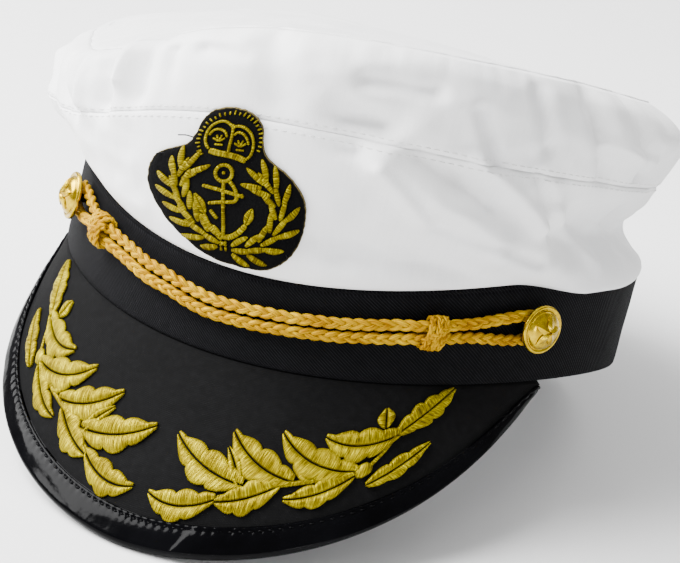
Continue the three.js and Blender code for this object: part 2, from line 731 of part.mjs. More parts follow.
function cordGeometry() {
  const places = cordPlaces();
  const count = places.length;
  const sections = places.map(({ bearing, point }, i) => {
    const before = places[(i + count - 1) % count].point;
    const after = places[(i + 1) % count].point;
    const along = after.clone().sub(before).normalize();
    const side = along.clone().cross(bandOutward(bearing)).normalize();
    const up = side.clone().cross(along).normalize();
    const section = [];
    for (let j = 0; j < cordFacets; j += 1) {
      const angle = 2 * Math.PI * j / cordFacets;
      const offset = side.clone().multiplyScalar(cordRadius * Math.cos(angle));
      offset.addScaledVector(up, cordRadius * Math.sin(angle));
      section.push(point.clone().add(offset));
    }
    return section;
  });
  return loft(sections, true);
}

// Sliding knot: a ridged sleeve round both runs of the cord
function knotGeometry(knot) {
  const facets = 12;
  const rings = [[-0.5, 0.1], [-0.34, 0.8], [-0.16, 0.45], [0, 1], [0.16, 0.45], [0.34, 0.8], [0.5, 0.1]];
  const sections = [];
  for (let j = 0; j < facets; j += 1) {
    const angle = 2 * Math.PI * (j + 0.5) / facets;
    const at = (along, wall) => {
      const here = knot.bearing + along * knotLength / bandArc;
      const radius = (cordRadius + knotBore) / Math.cos(Math.PI / facets) + wall;
      const z = strapZ(here) + Math.sign(Math.sin(angle)) * pairHalf + radius * Math.sin(angle);
      return bandPoint(here, z, cordOut(here) + radius * Math.cos(angle));
    };
    const outer = rings.map(([along, ridge]) => at(along, knotWall * (0.4 + 0.6 * ridge)));
    sections.push([...outer, at(0.5, 0), at(-0.5, 0)]);
  }
  return loft(sections, true);
}

// Button: shank, domed disc with a flat rim, and a raised five-pointed star
function buttonGeometry() {
  const back = cordStandOff + cordRadius + fitGap;
  const rimTop = back + buttonRim;
  const domeRadius = buttonRadius * 0.82;
  const profile = [
    [0, fitGap],
    [shankRadius, fitGap],
    [shankRadius, back],
    [buttonRadius, back],
    [buttonRadius, rimTop],
    [domeRadius, rimTop],
  ];
  const rings = 3;
  for (let i = 1; i <= rings; i += 1) {
    const angle = Math.PI / 2 * i / rings;
    profile.push([domeRadius * Math.cos(angle), rimTop + buttonDome * Math.sin(angle)]);
  }
  profile[profile.length - 1][0] = 0;
  const disc = new THREE.LatheGeometry(profile.map(([r, y]) => new THREE.Vector2(r, y)), 18);
  disc.rotateX(Math.PI / 2);
  const star = new THREE.Shape();
  for (let i = 0; i < 10; i += 1) {
    const angle = Math.PI / 2 + Math.PI * i / 5;
    const radius = i % 2 === 0 ? starRadius : starRadius * 0.45;
    star.lineTo(radius * Math.cos(angle), radius * Math.sin(angle));
  }
  const relief = new THREE.ExtrudeGeometry(star, { depth: buttonDome + 0.6, bevelEnabled: false });
  relief.translate(0, 0, rimTop);
  return join([closedBody(disc), closedBody(relief)]);
}

// Materials
function material(color, roughness, metalness = 0) {
  return new THREE.MeshStandardMaterial({ color, roughness, metalness });
}

const whiteCloth = () => material(0xf2f1ec, 0.75);
const bandCloth = () => material(0x101012, 0.85);
const peakCloth = () => material(0x1c1c1c, 0.9);
const patent = () => material(0x050507, 0.12);
const felt = () => material(0x08080a, 0.95);
const goldThread = () => material(0xcdb424, 0.45);
const strapCord = () => material(0xf0a80c, 0.6);
const gilt = () => material(0xd8b032, 0.25, 1);

const cap = new THREE.Group();

function piece(name, geometry, look) {
  const mesh = new THREE.Mesh(geometry, look);
  mesh.name = name;
  geometry.computeVertexNormals();
  cap.add(mesh);
  return mesh;
}

piece('band', bandGeometry(), bandCloth());
piece('crown_wall_lower', crownWallGeometry(0, 1, 6, 3), whiteCloth());
piece('crown_wall_upper', crownWallGeometry(1, 2, 5, 2), whiteCloth());
piece('crown_top', crownTopGeometry(), whiteCloth());
piece('peak', peakGeometry(), peakCloth());
piece('peak_binding', bindingGeometry(), patent());
piece('leaf_spray_left', sprayGeometry(1), goldThread());
piece('leaf_spray_right', sprayGeometry(-1), goldThread());
piece('badge_patch', badgePatchGeometry(), felt());
piece('badge_crown', badgeCrownGeometry(), goldThread());
piece('badge_anchor', badgeAnchorGeometry(), goldThread());
piece('badge_wreath_left', badgeWreathGeometry(1), goldThread());
piece('badge_wreath_right', badgeWreathGeometry(-1), goldThread());
piece('chin_cord', cordGeometry(), strapCord());
piece('cord_knot_left', knotGeometry(leftKnot), strapCord());
piece('cord_knot_right', knotGeometry(rightKnot), strapCord());

for (const [name, place] of [['button_left', leftButton], ['button_right', rightButton]]) {
  const button = piece(name, buttonGeometry(), gilt());
  const outward = bandOutward(place.bearing);
  const across = new THREE.Vector3().crossVectors(upAxis, outward);
  button.setRotationFromMatrix(new THREE.Matrix4().makeBasis(across, upAxis, outward));
  button.position.copy(bandPoint(place.bearing, strapZ(place.bearing)));
}

// Stand the cap as it rests by itself, on the back of the band and the rim of the peak, with the
// middle of its footprint at the origin
cap.rotation.x = -restTilt;
cap.updateMatrixWorld(true);
const standing = new THREE.Box3().setFromObject(cap, true);
const middle = standing.getCenter(new THREE.Vector3());
cap.position.set(-middle.x, -middle.y, -standing.min.z);

const sailorCap = new THREE.Group();
sailorCap.add(cap);

export default sailorCap;
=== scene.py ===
"""Dresses a packed peaked sailor cap: cloth crown, twill band, patent-bound peak, embroidery,
plaited strap and gilt buttons. Shapes are worked out in the cap's own level frame in millimetres,
with the front towards -Y and the wearer's left towards +X, and are then stood as the cap rests."""

import math
from functools import lru_cache

import bmesh
import bpy
from bpy.props import FloatProperty, FloatVectorProperty, IntProperty, PointerProperty
from mathutils import Matrix, Vector, noise


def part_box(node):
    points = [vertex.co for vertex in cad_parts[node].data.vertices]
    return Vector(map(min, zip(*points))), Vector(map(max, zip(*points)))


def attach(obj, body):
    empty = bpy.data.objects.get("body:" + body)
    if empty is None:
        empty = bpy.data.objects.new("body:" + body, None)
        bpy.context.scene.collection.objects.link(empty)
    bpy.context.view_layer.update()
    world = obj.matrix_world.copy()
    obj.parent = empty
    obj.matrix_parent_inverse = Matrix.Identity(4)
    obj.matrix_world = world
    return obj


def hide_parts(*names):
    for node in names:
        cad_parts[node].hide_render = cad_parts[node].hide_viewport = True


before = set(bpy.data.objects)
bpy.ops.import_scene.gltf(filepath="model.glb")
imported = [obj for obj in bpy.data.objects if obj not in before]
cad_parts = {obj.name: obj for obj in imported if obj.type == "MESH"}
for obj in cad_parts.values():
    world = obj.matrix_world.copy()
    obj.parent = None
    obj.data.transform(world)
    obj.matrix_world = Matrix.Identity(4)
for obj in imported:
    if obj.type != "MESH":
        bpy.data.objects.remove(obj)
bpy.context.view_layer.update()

bl_info = {
    "name": "Peaked sailor cap",
    "version": (1, 0, 0),
    "blender": (4, 5, 0),
    "location": "View3D > Sidebar > Cap",
    "description": "Builds a peaked sailor cap around its packed frame",
    "category": "Object",
}

MM = 0.001
UP = Vector((0, 0, 1))

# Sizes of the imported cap, in millimetres, degrees and shares
BAND_HALF_LENGTH = 97.3
BAND_HALF_WIDTH = 91.7
BAND_EGG = 0.05
BAND_HEIGHT = 29.3
BAND_WALL = 2.5
BAND_FOOT_DIP = 6.5
BAND_TOP_DIP = 10.4
BAND_STATIONS = 64
CROWN_HALF_LENGTH = 112
CROWN_HALF_WIDTH = 102
CROWN_HEIGHT = 95
CROWN_OVERHANG = 2.4
CROWN_SHIFT_X = -3
TIP_CENTRE_SHARE = 0.93
TIP_DOMING = 3
TIP_THICKNESS = 1.6
PEAK_HALF_WIDTH = 80.2
PEAK_REACH = 92.4
PEAK_DROP = 65.2
PEAK_CORNER_BACK = 32.8
PEAK_THICKNESS = 2.2
PEAK_CAMBER = 1.5
PEAK_END_BEARING = 87
PEAK_SIDE_CURVE = 1.1
PEAK_REACH_CURVE = 0.866
PEAK_DROP_CURVE = 0.786
BINDING_WIDTH = 8
BINDING_THICKNESS = 1
BINDING_GAP = 0.35
FOOT_FLATTENING = 1
RIM_FLATTENING = 0.2
FIT_GAP = 0.3
BADGE_BEARING = -1
# How the badge's drawing lies on the cloth: where its middle, its across and its up go, as
# millimetres along the wall and up it, and how much less across counts on the wearer's left
BADGE_MIDDLE = (2.4, 25.7)
BADGE_ACROSS = (1.05, 0.18)
BADGE_UP = (-0.04, 0.9)
BADGE_SQUEEZE = 0.0046
CORD_RADIUS = 1.85
CORD_STAND_OFF = 2.25
KNOT_LENGTH = 9
KNOT_WALL = 1.1
KNOT_BORE = 0.55
BUTTON_RADIUS = 7.5
BUTTON_DOME = 2.4
BUTTON_RIM = 1.5
SHANK_RADIUS = 1.6
STAR_RADIUS = 4.6
WELL_SHARE = 0.82

# How finely the pieces are made: facets across or along, and millimetres
CROWN_LOWER_ROWS = 44
CROWN_UPPER_ROWS = 36
CROWN_TOP_ROWS = 88
BAND_COLUMNS = 360
PEAK_COLUMNS = 200
BINDING_COLUMNS = 640
PATCH_COLUMNS = 150
STRAP_STEPS = 240
BUTTON_COLUMNS = 64
LEAF_STEP = 0.42
STROKE_STEP = 0.4

# Lengths of cloth in millimetres: band to middle seam, seam to the top's edge, and band to rim
LOWER_WALL_RUN = 40
UPPER_WALL_RUN = 30
PEAK_RUN = 55

# The crown's top: shares of its section that lie flat and that roll round the edge, and its edge
TOP_FLAT = 0.46
TOP_ROLL = 0.08
TOP_RIM_LIFT = 0.5
TOP_RIM_SHARE = 0.998

# How far the wall rolls in under the top's edge
EDGE_CURL = 3.4
# Loose cloth that sags over the band behind the left button: bearings between which it begins
# and between which it ends, and how far it sags and stands out
DRAPE_START = (54, 73)
DRAPE_END = (81, 112)
DRAPE_SAG = 4.6
DRAPE_OUT = 2.9
# Smooth cloth under the badge: degrees past the badge and height, and reach across and up
BADGE_COVER = ((1.5, 44), (35, 36))

# How far embroidery lies off its ground
THREAD_LIFT = 0.06

# Stitches: rows on the crown as rise, line on the binding from its rim, and thread radii
CROWN_STITCH_ROWS = (0.955, 1.05)
CROWN_STITCH_RADIUS = 0.16
BINDING_STITCH_LINE = 6.6
BINDING_STITCH_RADIUS = 0.3
STRAY_THREAD_RADIUS = 0.2

# Way round the band's section: share of the height, and millimetres out from its face
BAND_PROFILE = [
    (0.0, -0.35), (0.02, 0.0), (0.08, 0.12), (0.3, 0.02), (0.55, 0.0), (0.8, 0.02), (0.93, 0.1),
    (0.955, -0.22), (0.98, 0.08), (1.0, -0.3), (1.0, -2.2), (0.97, -2.5), (0.5, -2.5),
    (0.03, -2.5), (0.0, -2.2), (0.0, -0.35),
]
# The peak's seam allowance, turned up behind the band: millimetres above its foot, and out
TURNED_UP = [(-1.6, -4.3), (6, -4.1), (6, -3.2), (0.4, -3.1)]

# Crown sections every 45 degrees from the front towards the wearer's left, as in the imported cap:
# shares of half length and half width, of height, and swelling as shares of the half width
SECTION_COLUMNS = ("seam_out", "seam_up", "tip_out", "tip_up", "low_full", "high_full")
CROWN_SECTIONS = [
    (1.0, 0.67, 0.97, 0.94, 0.01, 0.03),
    (0.98, 0.71, 0.94, 1.0, 0.0, 0.03),
    (0.93, 0.7, 0.87, 0.97, -0.02, 0.08),
    (0.92, 0.66, 0.83, 0.92, 0.0, 0.09),
    (0.96, 0.6, 0.88, 0.89, 0.02, 0.07),
    (0.98, 0.57, 0.91, 0.9, 0.02, 0.06),
    (0.98, 0.53, 0.94, 0.78, 0.0, 0.035),
    (0.98, 0.49, 0.96, 0.7, 0.0, 0.02),
]

# Folds of the crown: from and to as bearing and share of the height, then width and push as
# shares of the half width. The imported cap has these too, and the fine creases are extra.
CROWN_FOLDS = [
    ((26, 0.66), (47, 0.45), 0.06, 0.028),
    ((47, 0.45), (66, 0.38), 0.06, 0.026),
    ((16, 0.36), (44, 0.36), 0.07, -0.03),
    ((66, 0.54), (120, 0.5), 0.09, -0.05),
    ((84, 0.36), (150, 0.36), 0.06, 0.045),
    ((60, 0.95), (68, 0.76), 0.045, -0.03),
    ((74, 0.96), (80, 0.78), 0.045, -0.03),
    ((3, 0.9), (6, 0.76), 0.06, -0.02),
    ((16, 0.76), (24, 0.75), 0.05, -0.02),
    ((28, 0.66), (36, 0.63), 0.05, -0.02),
    ((-21, 0.82), (-21, 0.64), 0.045, -0.03),
    ((-31, 0.72), (-30, 0.58), 0.045, -0.03),
    ((-44, 0.66), (-42, 0.52), 0.045, -0.03),
    ((150, 0.6), (195, 0.4), 0.08, 0.03),
    ((200, 0.62), (235, 0.5), 0.08, -0.03),
    ((250, 0.5), (285, 0.4), 0.07, 0.025),
]
FINE_CREASES = [
    ((-8, 0.83), (-1, 0.84), 0.022, -0.011),
    ((10, 0.65), (20, 0.66), 0.024, -0.012),
    ((17, 0.74), (23, 0.75), 0.02, -0.011),
    ((19, 0.87), (30, 0.885), 0.026, -0.012),
    ((24, 0.62), (33, 0.5), 0.022, 0.012),
    ((30, 0.69), (44, 0.58), 0.024, -0.011),
    ((36, 0.5), (58, 0.43), 0.026, -0.012),
    ((40, 0.72), (56, 0.55), 0.025, 0.012),
    ((52, 0.7), (60, 0.52), 0.022, -0.012),
    ((58, 0.6), (75, 0.46), 0.026, 0.014),
    ((38, 0.86), (43, 0.72), 0.02, -0.011),
    ((48, 0.95), (52, 0.8), 0.03, -0.013),
    ((64, 0.84), (82, 0.79), 0.024, 0.013),
    ((84, 0.6), (98, 0.42), 0.03, -0.014),
    ((-14, 0.8), (-12, 0.66), 0.024, -0.011),
    ((-26, 0.78), (-25, 0.66), 0.02, 0.011),
    ((-38, 0.7), (-36, 0.54), 0.022, 0.011),
    ((-52, 0.64), (-47, 0.5), 0.026, -0.013),
    ((-70, 0.62), (-60, 0.45), 0.03, 0.014),
    ((105, 0.88), (112, 0.7), 0.03, -0.013),
    ((130, 0.66), (150, 0.46), 0.03, 0.013),
    ((165, 0.8), (170, 0.64), 0.03, -0.013),
    ((190, 0.58), (215, 0.4), 0.03, 0.012),
    ((225, 0.84), (230, 0.62), 0.03, -0.013),
    ((255, 0.74), (262, 0.58), 0.03, -0.013),
]

# Strap route from the right button to the left one: bearing and millimetres above mid band
STRAP_ROUTE = [(-46, 5.8), (-31, 5.4), (-14, 3), (0, 1), (20, 1.6), (40, 2.6), (61, 2.6)]
RIGHT_BUTTON, RIGHT_KNOT = STRAP_ROUTE[0], STRAP_ROUTE[1]
LEFT_KNOT, LEFT_BUTTON = STRAP_ROUTE[-2], STRAP_ROUTE[-1]

# Leaves of one spray: base and tip as turn and depth share, width as a share of the peak's
# reach, bend of the vein as a share of the leaf's length, and scalloped lobes on each side
SPRAY_LEAVES = [
    ((17.4, 0.722), (2.4, 0.752), 0.098, -0.1, 3),
    ((21.5, 0.637), (3.1, 0.439), 0.112, -0.05, 3),
    ((20.8, 0.64), (15.4, 0.448), 0.046, 0.04, 1),
    ((29.3, 0.625), (17.2, 0.735), 0.112, -0.06, 3),
    ((31.4, 0.612), (15.1, 0.361), 0.108, -0.06, 3),
    ((44.0, 0.608), (30.7, 0.71), 0.1, -0.08, 3),
    ((44.1, 0.585), (25.6, 0.334), 0.112, -0.08, 3),
    ((36.0, 0.615), (30.9, 0.535), 0.042, 0.0, 1),
    ((51.5, 0.36), (35.0, 0.35), 0.13, -0.12, 3),
    ((47.5, 0.31), (46.4, 0.165), 0.07, 0.0, 1),
    ((50.4, 0.36), (61.5, 0.02), 0.125, 0.05, 4),
    ((46.8, 0.69), (58.9, 0.479), 0.1, 0.06, 3),
]
SPRAY_BERRY = ((45.4, 0.58), 0.032)
SPRAY_STEM = [(17.2, 0.715), (22, 0.67), (28, 0.63), (36, 0.61), (44.5, 0.59), (48, 0.5), (50.6, 0.36)]

# Strokes of the embroidered anchor and crown on the badge: points across and up in millimetres
# from the badge's centre, then the width of the stroke
ANCHOR_STROKES = [
    ([(-1.3, 1.4), (-1.3, -6), (-1.2, -12), (-1.2, -17.4)], 1.2),
    ([(-7.9, 0.3), (-4.5, -0.6), (-1.4, -1.4), (1.6, -2.3), (4.2, -3.0)], 1.25),
    ([(0.5, 1.9), (1.9, 0), (2.9, -2.6), (2.2, -4.8), (-1.5, -5.2), (-6.1, -5.8)], 1.25),
    ([(-5.4, -8.0), (-4.2, -9.6), (-3.1, -10.9)], 1.2),
    ([(-7.6, -9.6), (-6.4, -12.3), (-4.4, -14.9), (-1.3, -16.8)], 1.9),
    ([(-1.3, -16.8), (1.0, -16.7), (3.4, -15.3), (6.0, -12.6)], 1.9),
    ([(-2.4, -19.6), (-0.2, -18.4)], 0.9),
    ([(-2.4, -18.4), (-0.2, -19.6)], 0.9),
    ([(-2.0, -19.9), (-2.1, -21.4)], 0.8),
    ([(-0.6, -19.9), (-0.5, -21.4)], 0.8),
    ([(4.3, -2.4), (4.9, -3.6)], 1.3),
]
ANCHOR_FLUKES = [((-7.0, -9.4), (-10.3, -2.6), 3.4), ((5.9, -12.6), (8.0, -7.0), 3.2)]
CROWN_STROKES = [
    ([(-6.2, 12.2), (-3.2, 11.2), (0, 10.5), (3.0, 9.6), (5.4, 8.5)], 2.1),
    ([(-6.3, 12.8), (-7.3, 15.0), (-7.1, 18.0), (-5.4, 20.6), (-2.9, 21.7), (-0.8, 21.3),
      (1.0, 19.6)], 0.95),
    ([(1.0, 19.6), (2.6, 19.9), (4.8, 19.2), (6.8, 17.2), (7.7, 14.2), (7.1, 10.8), (5.5, 8.9)], 0.95),
    ([(1.1, 20.6), (0.8, 17.0), (0.2, 14.0), (-0.2, 11.6)], 1.0),
    ([(-6.3, 17.4), (-5.0, 18.9), (-3.2, 19.2), (-1.4, 18.2), (-0.7, 16.4)], 0.85),
    ([(1.4, 17.0), (2.6, 17.9), (4.2, 17.4), (5.6, 15.7), (6.1, 13.8)], 0.85),
]
# Stems of the laurel from the tie upwards, on the wearer's left (1) and right (-1)
LAUREL_STEMS = {
    1: [(0.8, -20.9), (7.6, -20.4), (14, -16.4), (17.2, -9.6), (15.6, -3), (11.4, 1)],
    -1: [(-2.2, -19.2), (-7.9, -15.6), (-12.5, -10), (-15.4, -3.6), (-15.9, 2.1), (-13.5, 5.6)],
}
LAUREL_GROUPS = 8
LAUREL_LEAF_LENGTH = 8.4
# Leaves of one group: turn away from the stem in radians, share of the length, and width
LAUREL_LEAVES = ((-0.52, 0.84, 2.1), (0.62, 0.9, 2.2), (0.05, 0.96, 2.0))
# Outline of the felt, from the top round by the wearer's left
PATCH_OUTLINE = [
    (-3, 26.2), (4.6, 24.6), (10, 19.6), (11.4, 10.4), (20.8, 2.6), (26, -5), (25.4, -13.8), (21, -23),
    (12, -27.6), (0.6, -26.6), (-9.4, -23.4), (-19.2, -14.8), (-25.2, -3.8), (-26, 5.7), (-22.4, 12.2),
    (-13.6, 14.8), (-10.9, 18), (-8.2, 23.6),
]
CROWN_FLORETS = [((-3.3, 15.9), 2.0), ((3.4, 13.9), 2.0)]
# Short rays round the crown: middle, reach across and up, first and last degree, and number
CROWN_RAY_ARC = ((0.2, 15.2), 9.4, 8.6, -118, 112, 27)
# Ring of the anchor: middle, and radius across and up
ANCHOR_RING = ((-1.3, 4.5), 2.6, 2.75)
# Loose threads at the felt's edge: across, up, and lift off the cloth
STRAY_THREADS = [
    [(-11.6, 16.9, 1.0), (-13.4, 17.9, 1.6), (-15.4, 18.4, 2.4)],
    [(-18.6, 11.4, 1.0), (-20.6, 12.0, 1.2), (-22.4, 11.9, 2.0)],
    [(7.4, 20.0, 1.2), (9.0, 19.6, 1.6), (10.3, 19.2, 2.2)],
    [(18.0, -21.0, 1.0), (19.4, -22.2, 1.3), (20.0, -23.6, 1.6)],
]

# Camera in the cap's own frame: degrees, millimetres and pixels of the 680 x 563 picture
PICTURE_WIDTH = 680
CAMERA_AZIMUTH = 19.81
CAMERA_ELEVATION = 9.3
CAMERA_ROLL = 14.5
CAMERA_DISTANCE = 732.3
CAMERA_FOCAL_PIXELS = 2207.0
CAMERA_ASIDE = (-1.573, -8.081)
SENSOR = 36.0

# Lights: side and place in metres. All point at the same place.
KEY_LIGHT = (1.3, (-0.95, -0.35, 1.1))
FILL_LIGHT = (0.28, (0.95, -0.95, 0.22))
BACK_LIGHT = (0.9, (0.1, 0.9, 0.9))
BACK_SHARE = 1.5
LIGHT_AIM = (0, 0, 0.06)

# The plait: strands' swing across and in height, and their radius, for a plait of size 1
PLAIT_ACROSS = 1.02
PLAIT_HEIGHT = 0.52
STRAND_RADIUS = 0.84
KNOT_TURNS = 3
KNOT_PLAIT_SIZE = 0.62
KNOT_PITCH_SHARE = 0.6


def rad(degrees):
    return math.radians(degrees)


def mix(a, b, t):
    return a + (b - a) * t


def clamp(value, low=0.0, high=1.0):
    return min(max(value, low), high)


def smoothstep(value, low, high):
    t = clamp((value - low) / (high - low))
    return t * t * (3 - 2 * t)


# Band and crown surfaces
@lru_cache(maxsize=None)
def band_plan(bearing):
    angle = rad(bearing)
    sine, cosine = math.sin(angle), math.cos(angle)
    place = Vector((BAND_HALF_WIDTH * sine * (1 - BAND_EGG * cosine), -BAND_HALF_LENGTH * cosine, 0))
    along_x = BAND_HALF_WIDTH * (cosine * (1 - BAND_EGG * cosine) + BAND_EGG * sine * sine)
    along_y = BAND_HALF_LENGTH * sine
    return place, Vector((along_y, -along_x, 0)).normalized()


def band_point(bearing, z, out=0.0):
    place, outward = band_plan(bearing)
    return place + outward * out + UP * z


def band_foot(bearing):
    return -BAND_FOOT_DIP * math.cos(2 * rad(bearing))


def band_top(bearing):
    return BAND_HEIGHT - BAND_TOP_DIP * math.cos(2 * rad(bearing))


def band_middle(bearing):
    return (band_foot(bearing) + band_top(bearing)) / 2


@lru_cache(maxsize=None)
def section_at(bearing):
    count = len(CROWN_SECTIONS)
    place = (bearing / 360 % 1) * count
    first = math.floor(place)
    t = place - first
    rows = [CROWN_SECTIONS[(first + offset) % count] for offset in (-1, 0, 1, 2)]
    smooth = {}
    for key, (a, b, c, d) in zip(SECTION_COLUMNS, zip(*rows)):
        bend = 2 * a - 5 * b + 4 * c - d + t * (3 * (b - c) + d - a)
        smooth[key] = b + 0.5 * t * (c - a + t * bend)
    return smooth


def plan_point(bearing, share, z):
    angle = rad(bearing)
    return Vector((
        CROWN_SHIFT_X + CROWN_HALF_WIDTH * share * math.sin(angle),
        -CROWN_HALF_LENGTH * share * math.cos(angle),
        z,
    ))


def fold_push(bearing, z, folds=CROWN_FOLDS):
    push = 0.0
    for start, end, width, depth in folds:
        turn = ((bearing - start[0] + 540) % 360) - 180
        run = ((end[0] - start[0] + 540) % 360) - 180
        here = Vector((rad(turn) * CROWN_HALF_WIDTH, z - start[1] * CROWN_HEIGHT))
        line = Vector((rad(run) * CROWN_HALF_WIDTH, (end[1] - start[1]) * CROWN_HEIGHT))
        along = clamp(here.dot(line) / line.length_squared)
        away = (here - line * along).length / (width * CROWN_HALF_WIDTH)
        if away < 3:
            push += depth * CROWN_HALF_WIDTH * math.exp(-away * away)
    return push


def crown_outer(bearing, rise):
    row = section_at(bearing)
    angle = rad(bearing)
    outward = Vector((math.sin(angle), -math.cos(angle), 0))
    seam = plan_point(bearing, row["seam_out"], row["seam_up"] * CROWN_HEIGHT)
    foot = band_point(bearing, band_top(bearing) + FIT_GAP)
    if rise < 1:
        spread = min(1, rise * 4)
        point = foot.lerp(seam, rise)
        point += outward * CROWN_OVERHANG * math.sin(spread * math.pi / 2) * (1 - rise)
        point += outward * row["low_full"] * CROWN_HALF_WIDTH * math.sin(math.pi * rise)
    else:
        t = rise - 1
        tip = plan_point(bearing, row["tip_out"], row["tip_up"] * CROWN_HEIGHT)
        point = seam.lerp(tip, t)
        point += outward * row["high_full"] * CROWN_HALF_WIDTH * math.sin(math.pi * t ** 1.3)
    fade = min(1, rise * 3)
    return point + outward * fade * fold_push(bearing, point.z)


def crown_point(bearing, rise, lift):
    turn, climb = 1.5, 0.12
    across = crown_outer(bearing + turn, rise) - crown_outer(bearing - turn, rise)
    upward = crown_outer(bearing, min(2, rise + climb)) - crown_outer(bearing, max(0, rise - climb))
    return crown_outer(bearing, rise) + across.cross(upward).normalized() * lift


# Peak surface
CORNER_BEARING = math.degrees(math.acos(PEAK_CORNER_BACK / BAND_HALF_LENGTH))


def peak_middle(turn, depth):
    bearing = turn / 90 * CORNER_BEARING
    clear = FIT_GAP + 0.6 * PEAK_THICKNESS / 2
    inner = band_point(bearing, band_foot(bearing) - clear, -BAND_WALL / 2)
    s = math.sin(rad(turn))
    c = max(math.cos(rad(turn)), 0)
    outer = Vector((
        PEAK_HALF_WIDTH * math.copysign(abs(s) ** PEAK_SIDE_CURVE, s),
        -PEAK_CORNER_BACK - PEAK_REACH * c ** PEAK_REACH_CURVE,
        band_foot(CORNER_BEARING) - PEAK_DROP * c ** PEAK_DROP_CURVE,
    ))
    camber = band_plan(bearing)[1] * 0.7 + UP * 0.7
    return inner.lerp(outer, depth) + camber * PEAK_CAMBER * 4 * depth * (1 - depth) * c


@lru_cache(maxsize=None)
def peak_normal(turn):
    step, slide, depth = 1, 0.05, 0.6
    across = peak_middle(turn + step, depth) - peak_middle(turn - step, depth)
    down = peak_middle(turn, depth + slide) - peak_middle(turn, depth - slide)
    return down.cross(across).normalized()


def peak_point(turn, depth, lift):
    return peak_middle(turn, depth) + peak_normal(turn) * lift


@lru_cache(maxsize=None)
def peak_fall(turn):
    return (peak_middle(turn, 1) - peak_middle(turn, 0)).length


def binding_shrink(turn):
    """How much narrower the binding is where the peak runs out."""
    return min(1.0, 0.94 * peak_fall(turn) / BINDING_WIDTH)


def peak_turn(share):
    t = 2 * share - 1
    return PEAK_END_BEARING * mix(t, math.sin(math.pi / 2 * t), 0.85)


# Badge surface, askew on the cloth
def badge_surface(across, up, lift):
    across *= 1 - BADGE_SQUEEZE * across
    side = BADGE_MIDDLE[0] + across * BADGE_ACROSS[0] + up * BADGE_UP[0]
    high = BADGE_MIDDLE[1] + across * BADGE_ACROSS[1] + up * BADGE_UP[1]
    foot, seam, tip = (crown_outer(BADGE_BEARING, rise) for rise in (0, 1, 2))
    lower, upper = (seam - foot).length, (tip - seam).length
    rise = high / lower if high < lower else 1 + (high - lower) / upper
    radius = mix(BAND_HALF_LENGTH, CROWN_HALF_LENGTH, min(rise, 1))
    return crown_point(BADGE_BEARING + math.degrees(side / radius), rise, lift)


# How the cap stands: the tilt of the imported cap, and the shift that its band's box gives
BACK_CONTACT = band_point(180, band_foot(180) + FOOT_FLATTENING)
FRONT_CONTACT = peak_point(0, 1, -(PEAK_THICKNESS / 2 + BINDING_GAP + BINDING_THICKNESS))
FRONT_CONTACT.z += RIM_FLATTENING
REST_TILT = math.atan2(BACK_CONTACT.z - FRONT_CONTACT.z, BACK_CONTACT.y - FRONT_CONTACT.y)
TURN = Matrix.Rotation(-REST_TILT, 3, "X")


def standing_shift():
    turned = []
    for station in range(BAND_STATIONS):
        bearing = 360 * station / BAND_STATIONS
        turned.append(TURN @ band_point(bearing, band_top(bearing)))
        turned.append(TURN @ band_point(bearing, band_foot(bearing)))
    low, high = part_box("band")
    middle = [(low[axis] + high[axis]) / 2 for axis in (0, 1)]
    xs = [point.x for point in turned]
    ys = [point.y for point in turned]
    top = max(point.z for point in turned)
    return Vector((
        middle[0] - (min(xs) + max(xs)) / 2 * MM,
        middle[1] - (min(ys) + max(ys)) / 2 * MM,
        high[2] - top * MM,
    ))


SHIFT = standing_shift()


def stand(point):
    placed = TURN @ point * MM + SHIFT
    placed.z = max(placed.z, 0.0)
    return placed


# Building blocks
def new_skin(mesh, columns, rows, place, measure, close_ends=False):
    """Adds a grid to a mesh, puts each of its corners in place and joins the edges that meet."""
    made = bmesh.ops.create_grid(mesh, x_segments=columns, y_segments=rows, size=1.0)
    corners = made["verts"]
    uv = mesh.loops.layers.uv.verify()
    shares = {corner: ((corner.co.x + 1) / 2, (corner.co.y + 1) / 2) for corner in corners}
    faces = {face for corner in corners for face in corner.link_faces}
    for face in faces:
        face.smooth = True
        for loop in face.loops:
            loop[uv].uv = measure(*shares[loop.vert])
    for corner in corners:
        corner.co = stand(place(*shares[corner]))
    bmesh.ops.remove_doubles(mesh, verts=corners, dist=1e-6)
    if close_ends:
        edges = [edge for edge in mesh.edges if edge.is_boundary]
        bmesh.ops.holes_fill(mesh, edges=edges, sides=0)


def finish_piece(name, mesh, look, nodes=(), wall=0.0, recalculate=True):
    if recalculate:
        bmesh.ops.recalc_face_normals(mesh, faces=mesh.faces)
    data = bpy.data.meshes.new(name)
    mesh.to_mesh(data)
    mesh.free()
    piece = bpy.data.objects.new(name, data)
    bpy.context.scene.collection.objects.link(piece)
    data.materials.append(look)
    if wall:
        solidify = piece.modifiers.new("wall", "SOLIDIFY")
        solidify.thickness = wall * MM
        solidify.offset = -1
        solidify.use_even_offset = False
    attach(piece, "root")
    if nodes:
        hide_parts(*nodes)


def along_line(points, t):
    """The place at share t of a line through points, corner by corner, and the span it is in."""
    spans = len(points) - 1
    place = clamp(t) * spans
    first = min(int(place), spans - 1)
    share = place - first
    a, b = points[first], points[first + 1]
    return tuple(mix(x, y, share) for x, y in zip(a, b)), first


